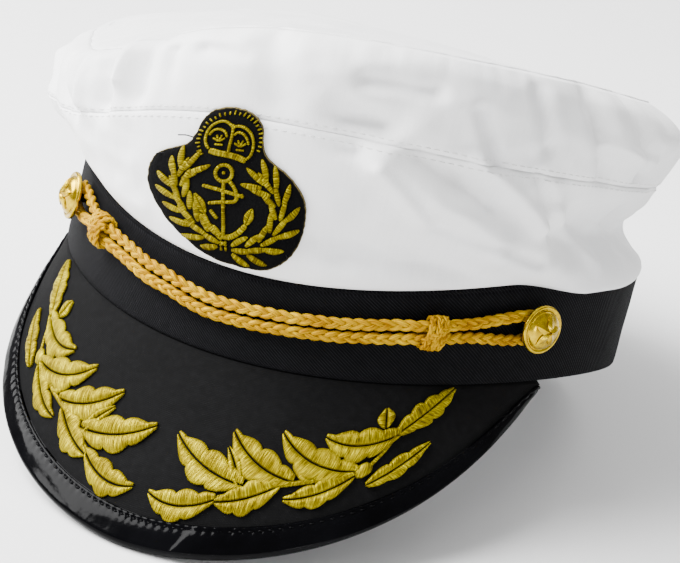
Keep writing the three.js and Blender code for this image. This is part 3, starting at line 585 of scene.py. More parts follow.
def along_points(points, t):
    """The place at share t of a smooth curve through some points, and its direction there."""
    spans = len(points) - 1
    place = clamp(t) * spans
    first = min(int(place), spans - 1)
    s = place - first
    p = [Vector(points[clamp(first + offset, 0, spans)]) for offset in (-1, 0, 1, 2)]
    here = p[1] + 0.5 * s * (p[2] - p[0] + s * (2 * p[0] - 5 * p[1] + 4 * p[2] - p[3]
                                                + s * (3 * (p[1] - p[2]) + p[3] - p[0])))
    slope = 0.5 * (p[2] - p[0] + 2 * s * (2 * p[0] - 5 * p[1] + 4 * p[2] - p[3])
                   + 3 * s * s * (3 * (p[1] - p[2]) + p[3] - p[0]))
    return here, slope.normalized() if slope.length > 1e-9 else (p[2] - p[1]).normalized()


def closed_curve(points, share):
    """The place at a share of the way round a smooth closed curve through some points."""
    count = len(points)
    around = [points[-1], *points, points[0], points[1]]
    place = share % 1.0 * count
    first = math.floor(place)
    return along_points(around[first:first + 4], (1 + place - first) / 3)[0]


def path_length(points):
    return sum((Vector(b) - Vector(a)).length for a, b in zip(points, points[1:]))


def pad_round(share, top=0.8):
    """Across a padded stroke: share of its width from -1 to 1, and share of its height. The last
    stretch of the way round runs back flat along the cloth."""
    if share < top:
        angle = math.pi * share / top
        return -math.cos(angle), math.sin(angle) ** 0.7
    return mix(1, -1, (share - top) / (1 - top)), 0.0


def add_stroke(mesh, surface, points, width, height, step, taper, seed):
    """A satin-stitched stroke along some places of a surface. taper is the share of the width that
    its ends keep, or None for a leaf, which is widest in its middle."""
    length = path_length(points)
    columns = max(3, round(length / step))

    def place(u, v):
        here, direction = along_points(points, u)
        side = Vector((-direction.y, direction.x))
        share, up = pad_round(v)
        if taper is None:
            narrow = math.sin(math.pi * mix(0.1, 0.97, u)) ** 0.8
        else:
            near_end = min(u, 1 - u) * length / width
            narrow = mix(taper, 1, min(1, near_end * 2) ** 0.5)
        rough = 1 + 0.07 * noise.noise(Vector((u * length * 1.7, seed, 0)))
        spot = here + side * share * width / 2 * narrow * rough
        lift = THREAD_LIFT + height * up * narrow * rough
        return surface(spot.x, spot.y, lift)

    def measure(u, v):
        return (u * length + seed * 3, v * width * 1.6)

    new_skin(mesh, columns, 10, place, measure, close_ends=True)


def add_leaf_half(
        mesh, surface, base, tip, width, bend, lobes, hand, height, seed, vein_gap=0.2):
    """One half of a padded leaf, from its dark vein to its scalloped edge."""
    start, end = Vector(base), Vector(tip)
    length = (end - start).length
    along = (end - start).normalized()
    side = Vector((-along.y, along.x))
    slant = 0.42

    def place(u, v):
        centre = start + along * length * u + side * bend * length * 4 * u * (1 - u)
        swell = math.sin(math.pi * mix(0.08, 0.93, u) ** 0.85)
        phase = lobes * u + (0.35 if hand > 0 else 0.0)
        scallop = abs(math.sin(math.pi * phase)) ** 0.55
        reach = width / 2 * swell * (0.76 + 0.32 * scallop if lobes > 1 else 1.0)
        across, up = pad_round(v)
        out = mix(vein_gap, max(reach, vein_gap + 0.25), (across + 1) / 2)
        grain = 0.05 * noise.noise(Vector((u * length * 1.9, hand * 7 + seed, 0.3)))
        ridges = 0.06 * math.sin(u * length * 7.5 + 2.2 * across) if lobes > 1 else 0.0
        lift = THREAD_LIFT + (height + grain + ridges) * up * min(1, 0.35 + reach / 3.2)
        spot = centre + side * hand * out + along * slant * out * (1 - u)
        return surface(spot.x, spot.y, lift)

    def measure(u, v):
        return (u * length + seed * 5 + hand, abs(pad_round(v)[0] + 1) * width / 4)

    new_skin(mesh, max(6, round(length / LEAF_STEP)), 12, place, measure, close_ends=True)


def add_tube(mesh, points, radius, sides, closed=False):
    """A thin round thread through points of the cap's own frame."""
    count = len(points)
    steps = count if closed else count - 1
    lengths = [0.0]
    for step in range(steps):
        lengths.append(lengths[-1] + (points[(step + 1) % count] - points[step % count]).length)
    frames = []
    lean = None
    for i in range(count):
        after = points[(i + 1) % count] if closed or i + 1 < count else points[i]
        before = points[i - 1] if closed or i > 0 else points[i]
        along = (after - before).normalized()
        if lean is None:
            lean = along.orthogonal().normalized()
        lean = (lean - along * lean.dot(along)).normalized()
        frames.append((lean.copy(), along.cross(lean)))

    def place(u, v):
        i = round(u * steps) % count if closed else round(u * steps)
        angle = 2 * math.pi * v
        first, second = frames[i]
        return points[i] + first * radius * math.cos(angle) + second * radius * math.sin(angle)

    def measure(u, v):
        return (lengths[round(u * steps)], v * 2 * math.pi * radius)

    new_skin(mesh, steps, sides, place, measure, close_ends=not closed)


def add_stitches(mesh, places, radius, sides):
    """Short stitches: each one a low bowed thread between two places with a lift in the middle."""
    for start, middle, end in places:
        bow = [start, start.lerp(middle, 0.6), middle, middle.lerp(end, 0.4), end]
        add_tube(mesh, bow, radius, sides)


# Shader wiring
class Wire:
    """A shader socket that adds Math nodes when it is used in an expression."""

    def __init__(self, look, socket):
        self.look = look
        self.socket = socket

    def apply(self, operation, *values):
        return self.look.node("ShaderNodeMath", {"operation": operation}, dict(enumerate(values)))

    def __add__(self, other):
        return self.apply("ADD", self, other)

    def __radd__(self, other):
        return self.apply("ADD", other, self)

    def __sub__(self, other):
        return self.apply("SUBTRACT", self, other)

    def __rsub__(self, other):
        return self.apply("SUBTRACT", other, self)

    def __mul__(self, other):
        return self.apply("MULTIPLY", self, other)

    def __rmul__(self, other):
        return self.apply("MULTIPLY", other, self)

    def sine(self):
        return self.apply("SINE", self)

    def size(self):
        return self.apply("ABSOLUTE", self)

    def clipped(self):
        return self.look.node("ShaderNodeClamp", {}, {"Value": self})


class Look:
    """A procedural material built from expressions."""

    def __init__(self, name, **sockets):
        self.material = bpy.data.materials.new(name)
        self.material.use_nodes = True
        self.tree = self.material.node_tree
        self.shader = self.tree.nodes["Principled BSDF"]
        for key, value in sockets.items():
            self.shader.inputs[key.replace("_", " ")].default_value = value

    def node(self, kind, settings, inputs, output=0):
        made = self.tree.nodes.new(kind)
        for key, value in settings.items():
            if key == "stops":
                ramp = made.color_ramp
                ramp.elements[0].position, ramp.elements[0].color = value[0]
                ramp.elements[1].position, ramp.elements[1].color = value[-1]
                for position, colour in value[1:-1]:
                    ramp.elements.new(position).color = colour
            else:
                setattr(made, key, value)
        for key, value in inputs.items():
            if isinstance(value, Wire):
                self.tree.links.new(value.socket, made.inputs[key])
            else:
                made.inputs[key].default_value = value
        return Wire(self, made.outputs[output])

    def uv(self):
        """The piece's own UV map, in millimetres along and across the cloth or thread."""
        whole = self.node("ShaderNodeTexCoord", {}, {}, "UV")
        return self.part(whole, "X"), self.part(whole, "Y")

    def part(self, vector, axis):
        return self.node("ShaderNodeSeparateXYZ", {}, {0: vector}, axis)

    def place(self, scale):
        """The place on the object, in millimetres times scale."""
        spot = self.node("ShaderNodeTexCoord", {}, {}, "Object")
        return self.node("ShaderNodeVectorMath", {"operation": "SCALE"}, {0: spot, "Scale": scale / MM})

    def vector(self, x, y):
        return self.node("ShaderNodeCombineXYZ", {}, {0: x, 1: y})

    def speckle(self, vector, detail):
        return self.node("ShaderNodeTexNoise", {}, {"Vector": vector, "Scale": 1.0, "Detail": detail})

    def ramp(self, value, stops):
        stops = [(position, (*colour, 1.0)) for position, colour in stops]
        return self.node("ShaderNodeValToRGB", {"stops": stops}, {0: value})

    def finish(self, colour, roughness, height=None, strength=0.0, distance=0.0):
        self.tree.links.new(colour.socket, self.shader.inputs["Base Color"])
        self.tree.links.new(roughness.socket, self.shader.inputs["Roughness"])
        if height is not None:
            bump = self.node(
                "ShaderNodeBump", {}, {"Strength": strength, "Distance": distance, "Height": height})
            self.tree.links.new(bump.socket, self.shader.inputs["Normal"])
        return self.material


def tinted(colour, stops):
    """Stops of a ramp, from each one's place and its share of a colour's three parts."""
    return [
        (place, tuple(part * share for part, share in zip(colour, shares))) for place, shares in stops]


def waves(value, pitch):
    """A wave from 0 to 1 with the given pitch in millimetres."""
    return (value * (2 * math.pi / pitch)).sine() * 0.5 + 0.5


@lru_cache(maxsize=None)
def crown_cloth():
    look = Look("crown_poplin", Sheen_Weight=0.25, Sheen_Roughness=0.4)
    u, v = look.uv()
    weave = waves(u, 0.42) * waves(v, 0.36)
    slub = look.speckle(look.vector(u * 0.9, v * 0.06), 3.0)
    patch = look.speckle(look.place(0.02), 3.0)
    colour = look.ramp(patch * 0.7 + slub * 0.3, tinted(bpy.context.scene.cap_colours.cloth, [
        (0.3, (0.9333, 0.9389, 0.95)), (0.55, (1, 1, 1)), (0.75, (1.0333, 1.0311, 1.0222))]))
    crumple = look.speckle(look.place(0.09), 4.0)
    return look.finish(
        colour, 0.56 + patch * 0.16, weave * 0.12 + slub * 0.2 + crumple * 1.6, 0.35, 0.0006)


@lru_cache(maxsize=None)
def band_twill():
    look = Look("band_twill", Specular_IOR_Level=0.05)
    u, v = look.uv()
    wale = waves(u * 0.8 + v, 0.95)
    cross = waves(u - v * 0.7, 0.4)
    lint = look.speckle(look.place(0.35), 4.0)
    tone = wale * 0.55 + cross * 0.15 + lint * 0.3
    colour = look.ramp(tone, tinted(bpy.context.scene.cap_colours.band, [
        (0.2, (0.089, 0.089, 0.095)), (0.55, (0.267, 0.267, 0.286)), (0.9, (1, 1, 1))]))
    return look.finish(colour, 0.92 - wale * 0.25, wale + cross * 0.3, 0.55, 0.00025)


@lru_cache(maxsize=None)
def peak_cloth():
    look = Look("peak_cloth", Specular_IOR_Level=0.07)
    u, v = look.uv()
    weave = waves(u, 0.5) * waves(v, 0.5)
    lint = look.speckle(look.place(0.5), 5.0)
    cloud = look.speckle(look.place(0.03), 2.0)
    colour = look.ramp(weave * 0.25 + lint * 0.5 + cloud * 0.25, [
        (0.25, (0.0015, 0.0015, 0.0016)), (0.5, (0.0035, 0.0035, 0.0037)),
        (0.8, (0.0085, 0.0085, 0.009))])
    return look.finish(colour, 0.86 + lint * 0.1, weave * 0.6 + lint * 0.6, 0.5, 0.0002)


@lru_cache(maxsize=None)
def patent_leather():
    look = Look("patent_binding", Specular_IOR_Level=0.035, Coat_Roughness=0.03, Coat_Weight=0.015)
    smudge = look.speckle(look.place(0.06), 3.0)
    grain = look.speckle(look.place(0.22), 2.0)
    colour = look.ramp(smudge, [(0.3, (0.0006, 0.0006, 0.0008)), (0.8, (0.002, 0.002, 0.0026))])
    return look.finish(colour, 0.07 + smudge * 0.16, grain + smudge, 0.25, 0.0006)


@lru_cache(maxsize=None)
def badge_felt():
    look = Look("badge_felt", Specular_IOR_Level=0.06)
    v = look.uv()[1]
    fuzz = look.speckle(look.place(1.1), 5.0)
    edge = ((v - 1.0).size() * -22 + 1.7 + fuzz).clipped()
    colour = look.ramp(edge, [
        (0.35, (0.0012, 0.0012, 0.0014)), (0.62, (0.012, 0.011, 0.006)), (0.95, (0.13, 0.1, 0.035))])
    return look.finish(colour, 0.95 - fuzz * 0.08, fuzz, 0.8, 0.0004)


@lru_cache(maxsize=None)
def gold_thread(name, strength):
    look = Look(name, Metallic=0.45, Specular_IOR_Level=0.03)
    u, v = look.uv()
    strand = look.speckle(look.vector(u * 2.6, v * 0.22), 2.0)
    fibre = look.speckle(look.vector(u * 7.0, v * 0.5), 1.0)
    shade = look.speckle(look.place(0.16), 2.0)
    tone = strand * 0.62 + fibre * 0.18 + shade * 0.2
    gold = [part * strength for part in bpy.context.scene.cap_colours.gold]
    # Tone along the strand streaks is partly the thread's own varying tone and partly painted light:
    # the dark end of the ramp is painted shade between strands, and its bright end is painted highlight
    # on the thread
    colour = look.ramp(tone, tinted(gold, [
        (0.3, (0.0357, 0.027, 0.027)), (0.42, (0.1786, 0.1419, 0.1419)),
        (0.54, (0.4286, 0.3784, 0.3784)), (0.68, (1, 1, 1))]))
    return look.finish(colour, 0.5 - strand * 0.25, strand + fibre * 0.5, 0.75, 0.00035)


def leaf_thread():
    return gold_thread("gold_thread", 0.72)


def badge_thread():
    return gold_thread("badge_gold_thread", 0.46)


@lru_cache(maxsize=None)
def strap_silk():
    look = Look("strap_silk", Metallic=0.15, Specular_IOR_Level=0.03)
    u, v = look.uv()
    fibre = look.speckle(look.vector(u * 0.22, v * 3.4), 2.0)
    shade = look.speckle(look.place(0.12), 2.0)
    # Colour along the fibre streaks is partly the silk's own tone and partly painted light: the dark
    # orange end of the ramp is painted shade, and its bright end is painted highlight on the strands
    colour = look.ramp(fibre * 0.7 + shade * 0.3, tinted(bpy.context.scene.cap_colours.strap, [
        (0.28, (0.1667, 0.0673, 0.0673)), (0.42, (0.375, 0.2404, 0.2404)),
        (0.56, (0.6111, 0.4808, 0.4808)), (0.72, (1, 1, 1))]))
    return look.finish(colour, 0.5 - fibre * 0.2, fibre, 0.6, 0.0003)


@lru_cache(maxsize=None)
def gilt_metal():
    look = Look("gilt_metal", Metallic=0.95)
    smudge = look.speckle(look.place(0.5), 3.0)
    dull = look.speckle(look.place(0.12), 2.0)
    colour = look.ramp(smudge, tinted(bpy.context.scene.cap_colours.gilt, [
        (0.3, (0.4412, 0.3558, 0.0)), (0.6, (0.7353, 0.6538, 0.2)), (0.85, (1, 1, 1))]))
    return look.finish(colour, 0.14 + smudge * 0.12 + dull * 0.1, smudge, 0.08, 0.0002)


def sewing_thread(name, dark, light, gloss):
    look = Look(name, Specular_IOR_Level=gloss)
    u, v = look.uv()
    twist = waves(u + v * 1.5, 0.5)
    colour = look.ramp(twist, [(0.1, dark), (0.9, light)])
    return look.finish(colour, 0.6 - twist * 0.15, twist, 0.5, 0.0001)


def white_thread():
    return sewing_thread("white_thread", (0.7, 0.7, 0.7), (0.86, 0.86, 0.85), 0.4)


def black_thread():
    return sewing_thread("black_thread", (0.001, 0.001, 0.0012), (0.01, 0.01, 0.011), 0.05)


@lru_cache(maxsize=None)
def floor_paint():
    look = Look("floor_paint")
    cloud = look.speckle(look.place(0.004), 2.0)
    colour = look.ramp(cloud, [(0.3, (0.86, 0.86, 0.86)), (0.8, (0.9, 0.9, 0.9))])
    return look.finish(colour, 0.75 + cloud * 0.1)


# Fine surface of the crown's cloth
def drape(bearing):
    """1 where the loose cloth sags furthest over the band, behind the left button."""
    turn = (bearing + 180) % 360 - 180
    return smoothstep(turn, *DRAPE_START) * (1 - smoothstep(turn, *DRAPE_END))


def badge_cover(bearing, z):
    """1 under the badge, where the cloth lies smooth, falling to 0 around it."""
    (aside, high), (wide, tall) = BADGE_COVER
    middle = BADGE_BEARING + aside
    across = rad(((bearing - middle + 180) % 360) - 180) * CROWN_HALF_LENGTH / wide
    up = (z - high) / tall
    return 1 - smoothstep(math.hypot(across, up), 0.85, 1.25)


def crown_detail(bearing, rise, z):
    """Outward shift of the cloth from fine creases, crumpling and the pull of the seams."""
    round_place = Vector((math.cos(rad(bearing)), math.sin(rad(bearing)), 0)) * CROWN_HALF_WIDTH
    soft = noise.noise(Vector((round_place.x / 17, round_place.y / 17, z / 9)))
    small = noise.noise(Vector((round_place.x / 7, round_place.y / 7, z / 5 + 9)))
    seam_gap = abs(rise - 1) * (LOWER_WALL_RUN if rise < 1 else UPPER_WALL_RUN)
    pull = noise.noise(Vector((round_place.x / 3.1, round_place.y / 3.1, 4 + seam_gap / 22)))
    pucker = 0.85 * pull * math.exp(-seam_gap / 7) * (1 - math.exp(-seam_gap / 1.2))
    groove = -0.55 * math.exp(-((seam_gap / 1.2) ** 2))
    tip_gap = (2 - rise) * UPPER_WALL_RUN
    tip_pull = noise.noise(Vector((round_place.x / 3.3, round_place.y / 3.3, 20 + tip_gap / 20)))
    tip_pucker = 0.8 * tip_pull * math.exp(-tip_gap / 6) if rise > 1 else 0.0
    foot_gap = rise * LOWER_WALL_RUN
    gather = noise.noise(Vector((round_place.x / 3.6, round_place.y / 3.6, 31 + foot_gap / 25)))
    foot_pucker = 0.7 * gather * math.exp(-foot_gap / 8) if rise < 1 else 0.0
    creases = fold_push(bearing, z, FINE_CREASES)
    loose = 1.4 * soft + 0.55 * small + 2.5 * creases + 0.75 * fold_push(bearing, z) + foot_pucker
    shown = 1 - badge_cover(bearing, z)
    return (loose + pucker + tip_pucker) * shown * min(1, rise * 5) + groove


def crown_wall_place(start, end):
    def place(u, v):
        bearing = 360 * u
        rise = mix(start, end, v)
        point = crown_outer(bearing, rise)
        angle = rad(bearing)
        outward = Vector((math.sin(angle), -math.cos(angle), 0))
        curl = EDGE_CURL * clamp((rise - 1.8) / 0.2) ** 2
        swag = clamp(1 - rise / 0.35) ** 2 * drape(bearing)
        shift = crown_detail(bearing, rise, point.z) - curl + DRAPE_OUT * swag
        return point + outward * shift - UP * DRAPE_SAG * swag
    return place


class CapSizes(bpy.types.PropertyGroup):
    crown_columns: IntProperty(
        name="Crown columns", description="Facets round the crown", default=420, min=80)
    crown_wall: FloatProperty(
        name="Crown cloth", description="Thickness of the crown's cloth",
        default=0.0016, min=0.0004, precision=5, unit="LENGTH")
    stitch_pitch: FloatProperty(
        name="Stitch pitch", description="Distance between top stitches",
        default=0.0027, min=0.001, precision=5, unit="LENGTH")
    binding_pitch: FloatProperty(
        name="Binding pitch", description="Distance between the binding's stitches",
        default=0.0031, min=0.0015, precision=5, unit="LENGTH")
    leaf_height: FloatProperty(
        name="Leaf padding", description="Height of the embroidered leaves",
        default=0.00125, min=0.0003, precision=5, unit="LENGTH")
    badge_felt_height: FloatProperty(
        name="Felt thickness", description="Thickness of the badge's felt",
        default=0.00115, min=0.0005, precision=5, unit="LENGTH")
    thread_height: FloatProperty(
        name="Badge padding", description="Height of the badge's embroidery",
        default=0.00062, min=0.0002, precision=5, unit="LENGTH")
    plait_pitch: FloatProperty(
        name="Plait pitch", description="Length of one full turn of the plait",
        default=0.011, min=0.004, precision=5, unit="LENGTH")


class CapColours(bpy.types.PropertyGroup):
    cloth: FloatVectorProperty(
        name="Crown", description="Colour of the crown's cloth", default=(0.9, 0.9, 0.9),
        subtype="COLOR", size=3, min=0.0, max=1.0)
    band: FloatVectorProperty(
        name="Band", description="Colour of the band's raised threads", default=(0.009, 0.009, 0.0105),
        subtype="COLOR", size=3, min=0.0, max=1.0)
    gold: FloatVectorProperty(
        name="Gold thread", description="Brightest colour of the embroidery", default=(0.84, 0.74, 0.0),
        subtype="COLOR", size=3, min=0.0, max=1.0)
    strap: FloatVectorProperty(
        name="Strap", description="Brightest colour of the strap", default=(0.72, 0.52, 0.0),
        subtype="COLOR", size=3, min=0.0, max=1.0)
    gilt: FloatVectorProperty(
        name="Buttons", description="Brightest colour of the buttons", default=(0.68, 0.52, 0.02),
        subtype="COLOR", size=3, min=0.0, max=1.0)


class StageSizes(bpy.types.PropertyGroup):
    floor_half: FloatProperty(
        name="Floor", description="Half the floor's side", default=4.0, unit="LENGTH")
    world_light: FloatProperty(
        name="Room light", description="Strength of the even light", default=0.62, min=0.0)
    key_light: FloatProperty(
        name="Key light", description="Power of the large light in watts",
        default=132.0, min=0.0, unit="POWER")
    fill_light: FloatProperty(
        name="Fill light", description="Power of the light on the right in watts",
        default=4.0, min=0.0, unit="POWER")
    room_colour: FloatVectorProperty(
        name="Room colour", description="Colour of the even light", default=(1.0, 1.0, 1.0),
        subtype="COLOR", size=3)


class CAP_OT_stage(bpy.types.Operator):
    """Sets the pale floor, the soft lights and the camera."""
    bl_idname = "cap.stage"
    bl_label = "Stage"

    def execute(self, context):
        sizes = context.scene.cap_stage
        self.lay_floor(sizes)
        self.light_room(context.scene, sizes)
        self.set_camera(context.scene)
        return {"FINISHED"}

    def lay_floor(self, sizes):
        mesh = bmesh.new()
        bmesh.ops.create_grid(mesh, x_segments=8, y_segments=8, size=sizes.floor_half)
        data = bpy.data.meshes.new("floor")
        mesh.to_mesh(data)
        mesh.free()
        floor = bpy.data.objects.new("floor", data)
        bpy.context.scene.collection.objects.link(floor)
        data.materials.append(floor_paint())

    def light_room(self, scene, sizes):
        world = bpy.data.worlds.new("room")
        world.use_nodes = True
        background = world.node_tree.nodes["Background"]
        background.inputs["Color"].default_value = (*sizes.room_colour, 1.0)
        background.inputs["Strength"].default_value = sizes.world_light
        scene.world = world
        lights = [
            ("key", sizes.key_light, *KEY_LIGHT),
            ("fill", sizes.fill_light, *FILL_LIGHT),
            ("back", sizes.fill_light * BACK_SHARE, *BACK_LIGHT),
        ]
        for name, power, side, spot in lights:
            data = bpy.data.lights.new(name, "AREA")
            data.energy = power
            data.shape = "SQUARE"
            data.size = side
            light = bpy.data.objects.new(name, data)
            light.location = spot
            way = Vector(LIGHT_AIM) - Vector(spot)
            light.rotation_euler = way.to_track_quat("-Z", "Y").to_euler()
            scene.collection.objects.link(light)

    def set_camera(self, scene):
        azimuth, elevation, roll = rad(CAMERA_AZIMUTH), rad(CAMERA_ELEVATION), rad(CAMERA_ROLL)
        back = Vector((
            math.sin(azimuth) * math.cos(elevation),
            -math.cos(azimuth) * math.cos(elevation),
            math.sin(elevation),
        ))
        right = (-back).cross(UP).normalized()
        up = right.cross(-back)
        picture_right = right * math.cos(roll) + up * math.sin(roll)
        picture_up = up * math.cos(roll) - right * math.sin(roll)
        spot = back * CAMERA_DISTANCE - picture_right * CAMERA_ASIDE[0] - picture_up * CAMERA_ASIDE[1]
        axes = Matrix((picture_right, picture_up, back)).transposed()
        data = bpy.data.cameras.new("camera")
        data.sensor_width = SENSOR
        data.lens = CAMERA_FOCAL_PIXELS / PICTURE_WIDTH * SENSOR
        data.clip_start = 0.01
        data.clip_end = 50
        camera = bpy.data.objects.new("camera", data)
        placed = (TURN @ axes).to_4x4()
        placed.translation = TURN @ spot * MM + SHIFT
        camera.matrix_world = placed
        scene.collection.objects.link(camera)
        scene.camera = camera


class CAP_OT_crown(bpy.types.Operator):
    """Builds the crown's two walls and its top with folds, puckers and top stitching."""
    bl_idname = "cap.crown"
    bl_label = "Crown"

    def execute(self, context):
        sizes = context.scene.cap_sizes
        self.wall("crown_lower_cloth", 0.0, 0.998, CROWN_LOWER_ROWS, sizes, "crown_wall_lower")
        self.wall("crown_upper_cloth", 1.002, 2.0, CROWN_UPPER_ROWS, sizes, "crown_wall_upper")
        self.top(sizes)
        self.stitching(sizes)
        return {"FINISHED"}

    def wall(self, name, start, end, rows, sizes, node):
        mesh = bmesh.new()
        round_length = 2 * math.pi * CROWN_HALF_WIDTH

        def measure(u, v):
            return (u * round_length, mix(start, end, v) * LOWER_WALL_RUN)

        new_skin(mesh, sizes.crown_columns, rows, crown_wall_place(start, end), measure)
        bmesh.ops.recalc_face_normals(mesh, faces=mesh.faces)
        self.point_outward(mesh)
        finish_piece(name, mesh, crown_cloth(), [node], sizes.crown_wall / MM, False)

    def point_outward(self, mesh):
        middle = SHIFT + Vector((0, 0, 0.03))
        score = sum(face.normal.dot(face.calc_center_median() - middle) for face in mesh.faces)
        if score < 0:
            bmesh.ops.reverse_faces(mesh, faces=mesh.faces)

    def top(self, sizes):
        mesh = bmesh.new()
        place_wall = crown_wall_place(1.0, 2.0)

        @lru_cache(maxsize=None)
        def edge(u):
            return place_wall(u, 1.0)

        def place(u, v):
            bearing = 360 * u
            roll = clamp((v - TOP_FLAT) / TOP_ROLL)
            inset = TIP_THICKNESS / 2 / CROWN_HALF_WIDTH
            reach = min(v, 1 - v, TOP_FLAT) / TOP_FLAT * (1 - inset)
            reach += inset * math.sin(math.pi * roll)
            under = (1 - math.cos(math.pi * roll)) / 2
            rim = edge(u % 1.0)
            rim_z = rim.z + TOP_RIM_LIFT
            z = mix(TIP_CENTRE_SHARE * CROWN_HEIGHT, rim_z, reach ** 2) + TIP_DOMING * (1 - reach ** 2)
            x = mix(CROWN_SHIFT_X, rim.x, reach * TOP_RIM_SHARE)
            y = rim.y * reach * TOP_RIM_SHARE
            soft = noise.noise(Vector((x / 30, y / 30, 3)))
            soft += 0.4 * noise.noise(Vector((x / 11, y / 11, 5)))
            ring = math.exp(-(((1 - reach) * 90 - 5) / 5) ** 2)
            angle = rad(bearing)
            pull = noise.noise(Vector((math.cos(angle) * 26, math.sin(angle) * 26, reach * 4)))
            settled = 1 - reach ** 8
            z += (1.1 * soft * settled + 0.5 * pull * ring) * (1 - under)
            z -= TIP_THICKNESS * under
            return Vector((x, y, z))

        def measure(u, v):
            reach = v / 0.5 if v <= 0.5 else (1 - v) / 0.5
            angle = 2 * math.pi * u
            across = math.sin(angle) * reach * CROWN_HALF_WIDTH
            return (across, math.cos(angle) * reach * CROWN_HALF_LENGTH)

        new_skin(mesh, sizes.crown_columns, CROWN_TOP_ROWS, place, measure)
        finish_piece("crown_top_cloth", mesh, crown_cloth(), ["crown_top"])

    def stitching(self, sizes):
        mesh = bmesh.new()
        places = []
        count = round(2 * math.pi * CROWN_HALF_WIDTH * MM / sizes.stitch_pitch)
        for row in CROWN_STITCH_ROWS:
            place = crown_wall_place(row, row)
            for i in range(count):
                middle = (i + 0.5) / count
                half = 0.3 / count
                ends = [place((middle + side * half) % 1.0, 0) for side in (-1, 0, 1)]
                angle = 2 * math.pi * middle
                outward = Vector((math.sin(angle), -math.cos(angle), 0))
                sunk = outward * 0.1
                places.append((ends[0] - sunk, ends[1] + outward * 0.14, ends[2] - sunk))
        add_stitches(mesh, places, CROWN_STITCH_RADIUS, 4)
        finish_piece("crown_stitches", mesh, white_thread())


class CAP_OT_band(bpy.types.Operator):
    """Builds the twill band with its turned edges."""
    bl_idname = "cap.band"
    bl_label = "Band"

    def execute(self, context):
        mesh = bmesh.new()

        def place(u, v):
            bearing = 360 * u
            (share, out), _ = along_line(BAND_PROFILE, v)
            z = mix(band_foot(bearing), band_top(bearing), share)
            around = Vector((math.cos(rad(bearing)), math.sin(rad(bearing)), 0)) * BAND_HALF_LENGTH
            ripple = noise.noise(Vector((around.x / 16, around.y / 16, z / 14)))
            ripple += 0.3 * noise.noise(Vector((around.x / 4, around.y / 4, z / 9)))
            edge = math.sin(math.pi * clamp(share)) if out > -1 else 0.0
            return band_point(bearing, z, out + 0.22 * ripple * edge)

        def measure(u, v):
            (share, out), _ = along_line(BAND_PROFILE, v)
            return (u * 2 * math.pi * BAND_HALF_LENGTH, share * BAND_HEIGHT + out)

        new_skin(mesh, BAND_COLUMNS, 3 * (len(BAND_PROFILE) - 1), place, measure)
        finish_piece("band_cloth", mesh, band_twill(), ["band"])
        return {"FINISHED"}


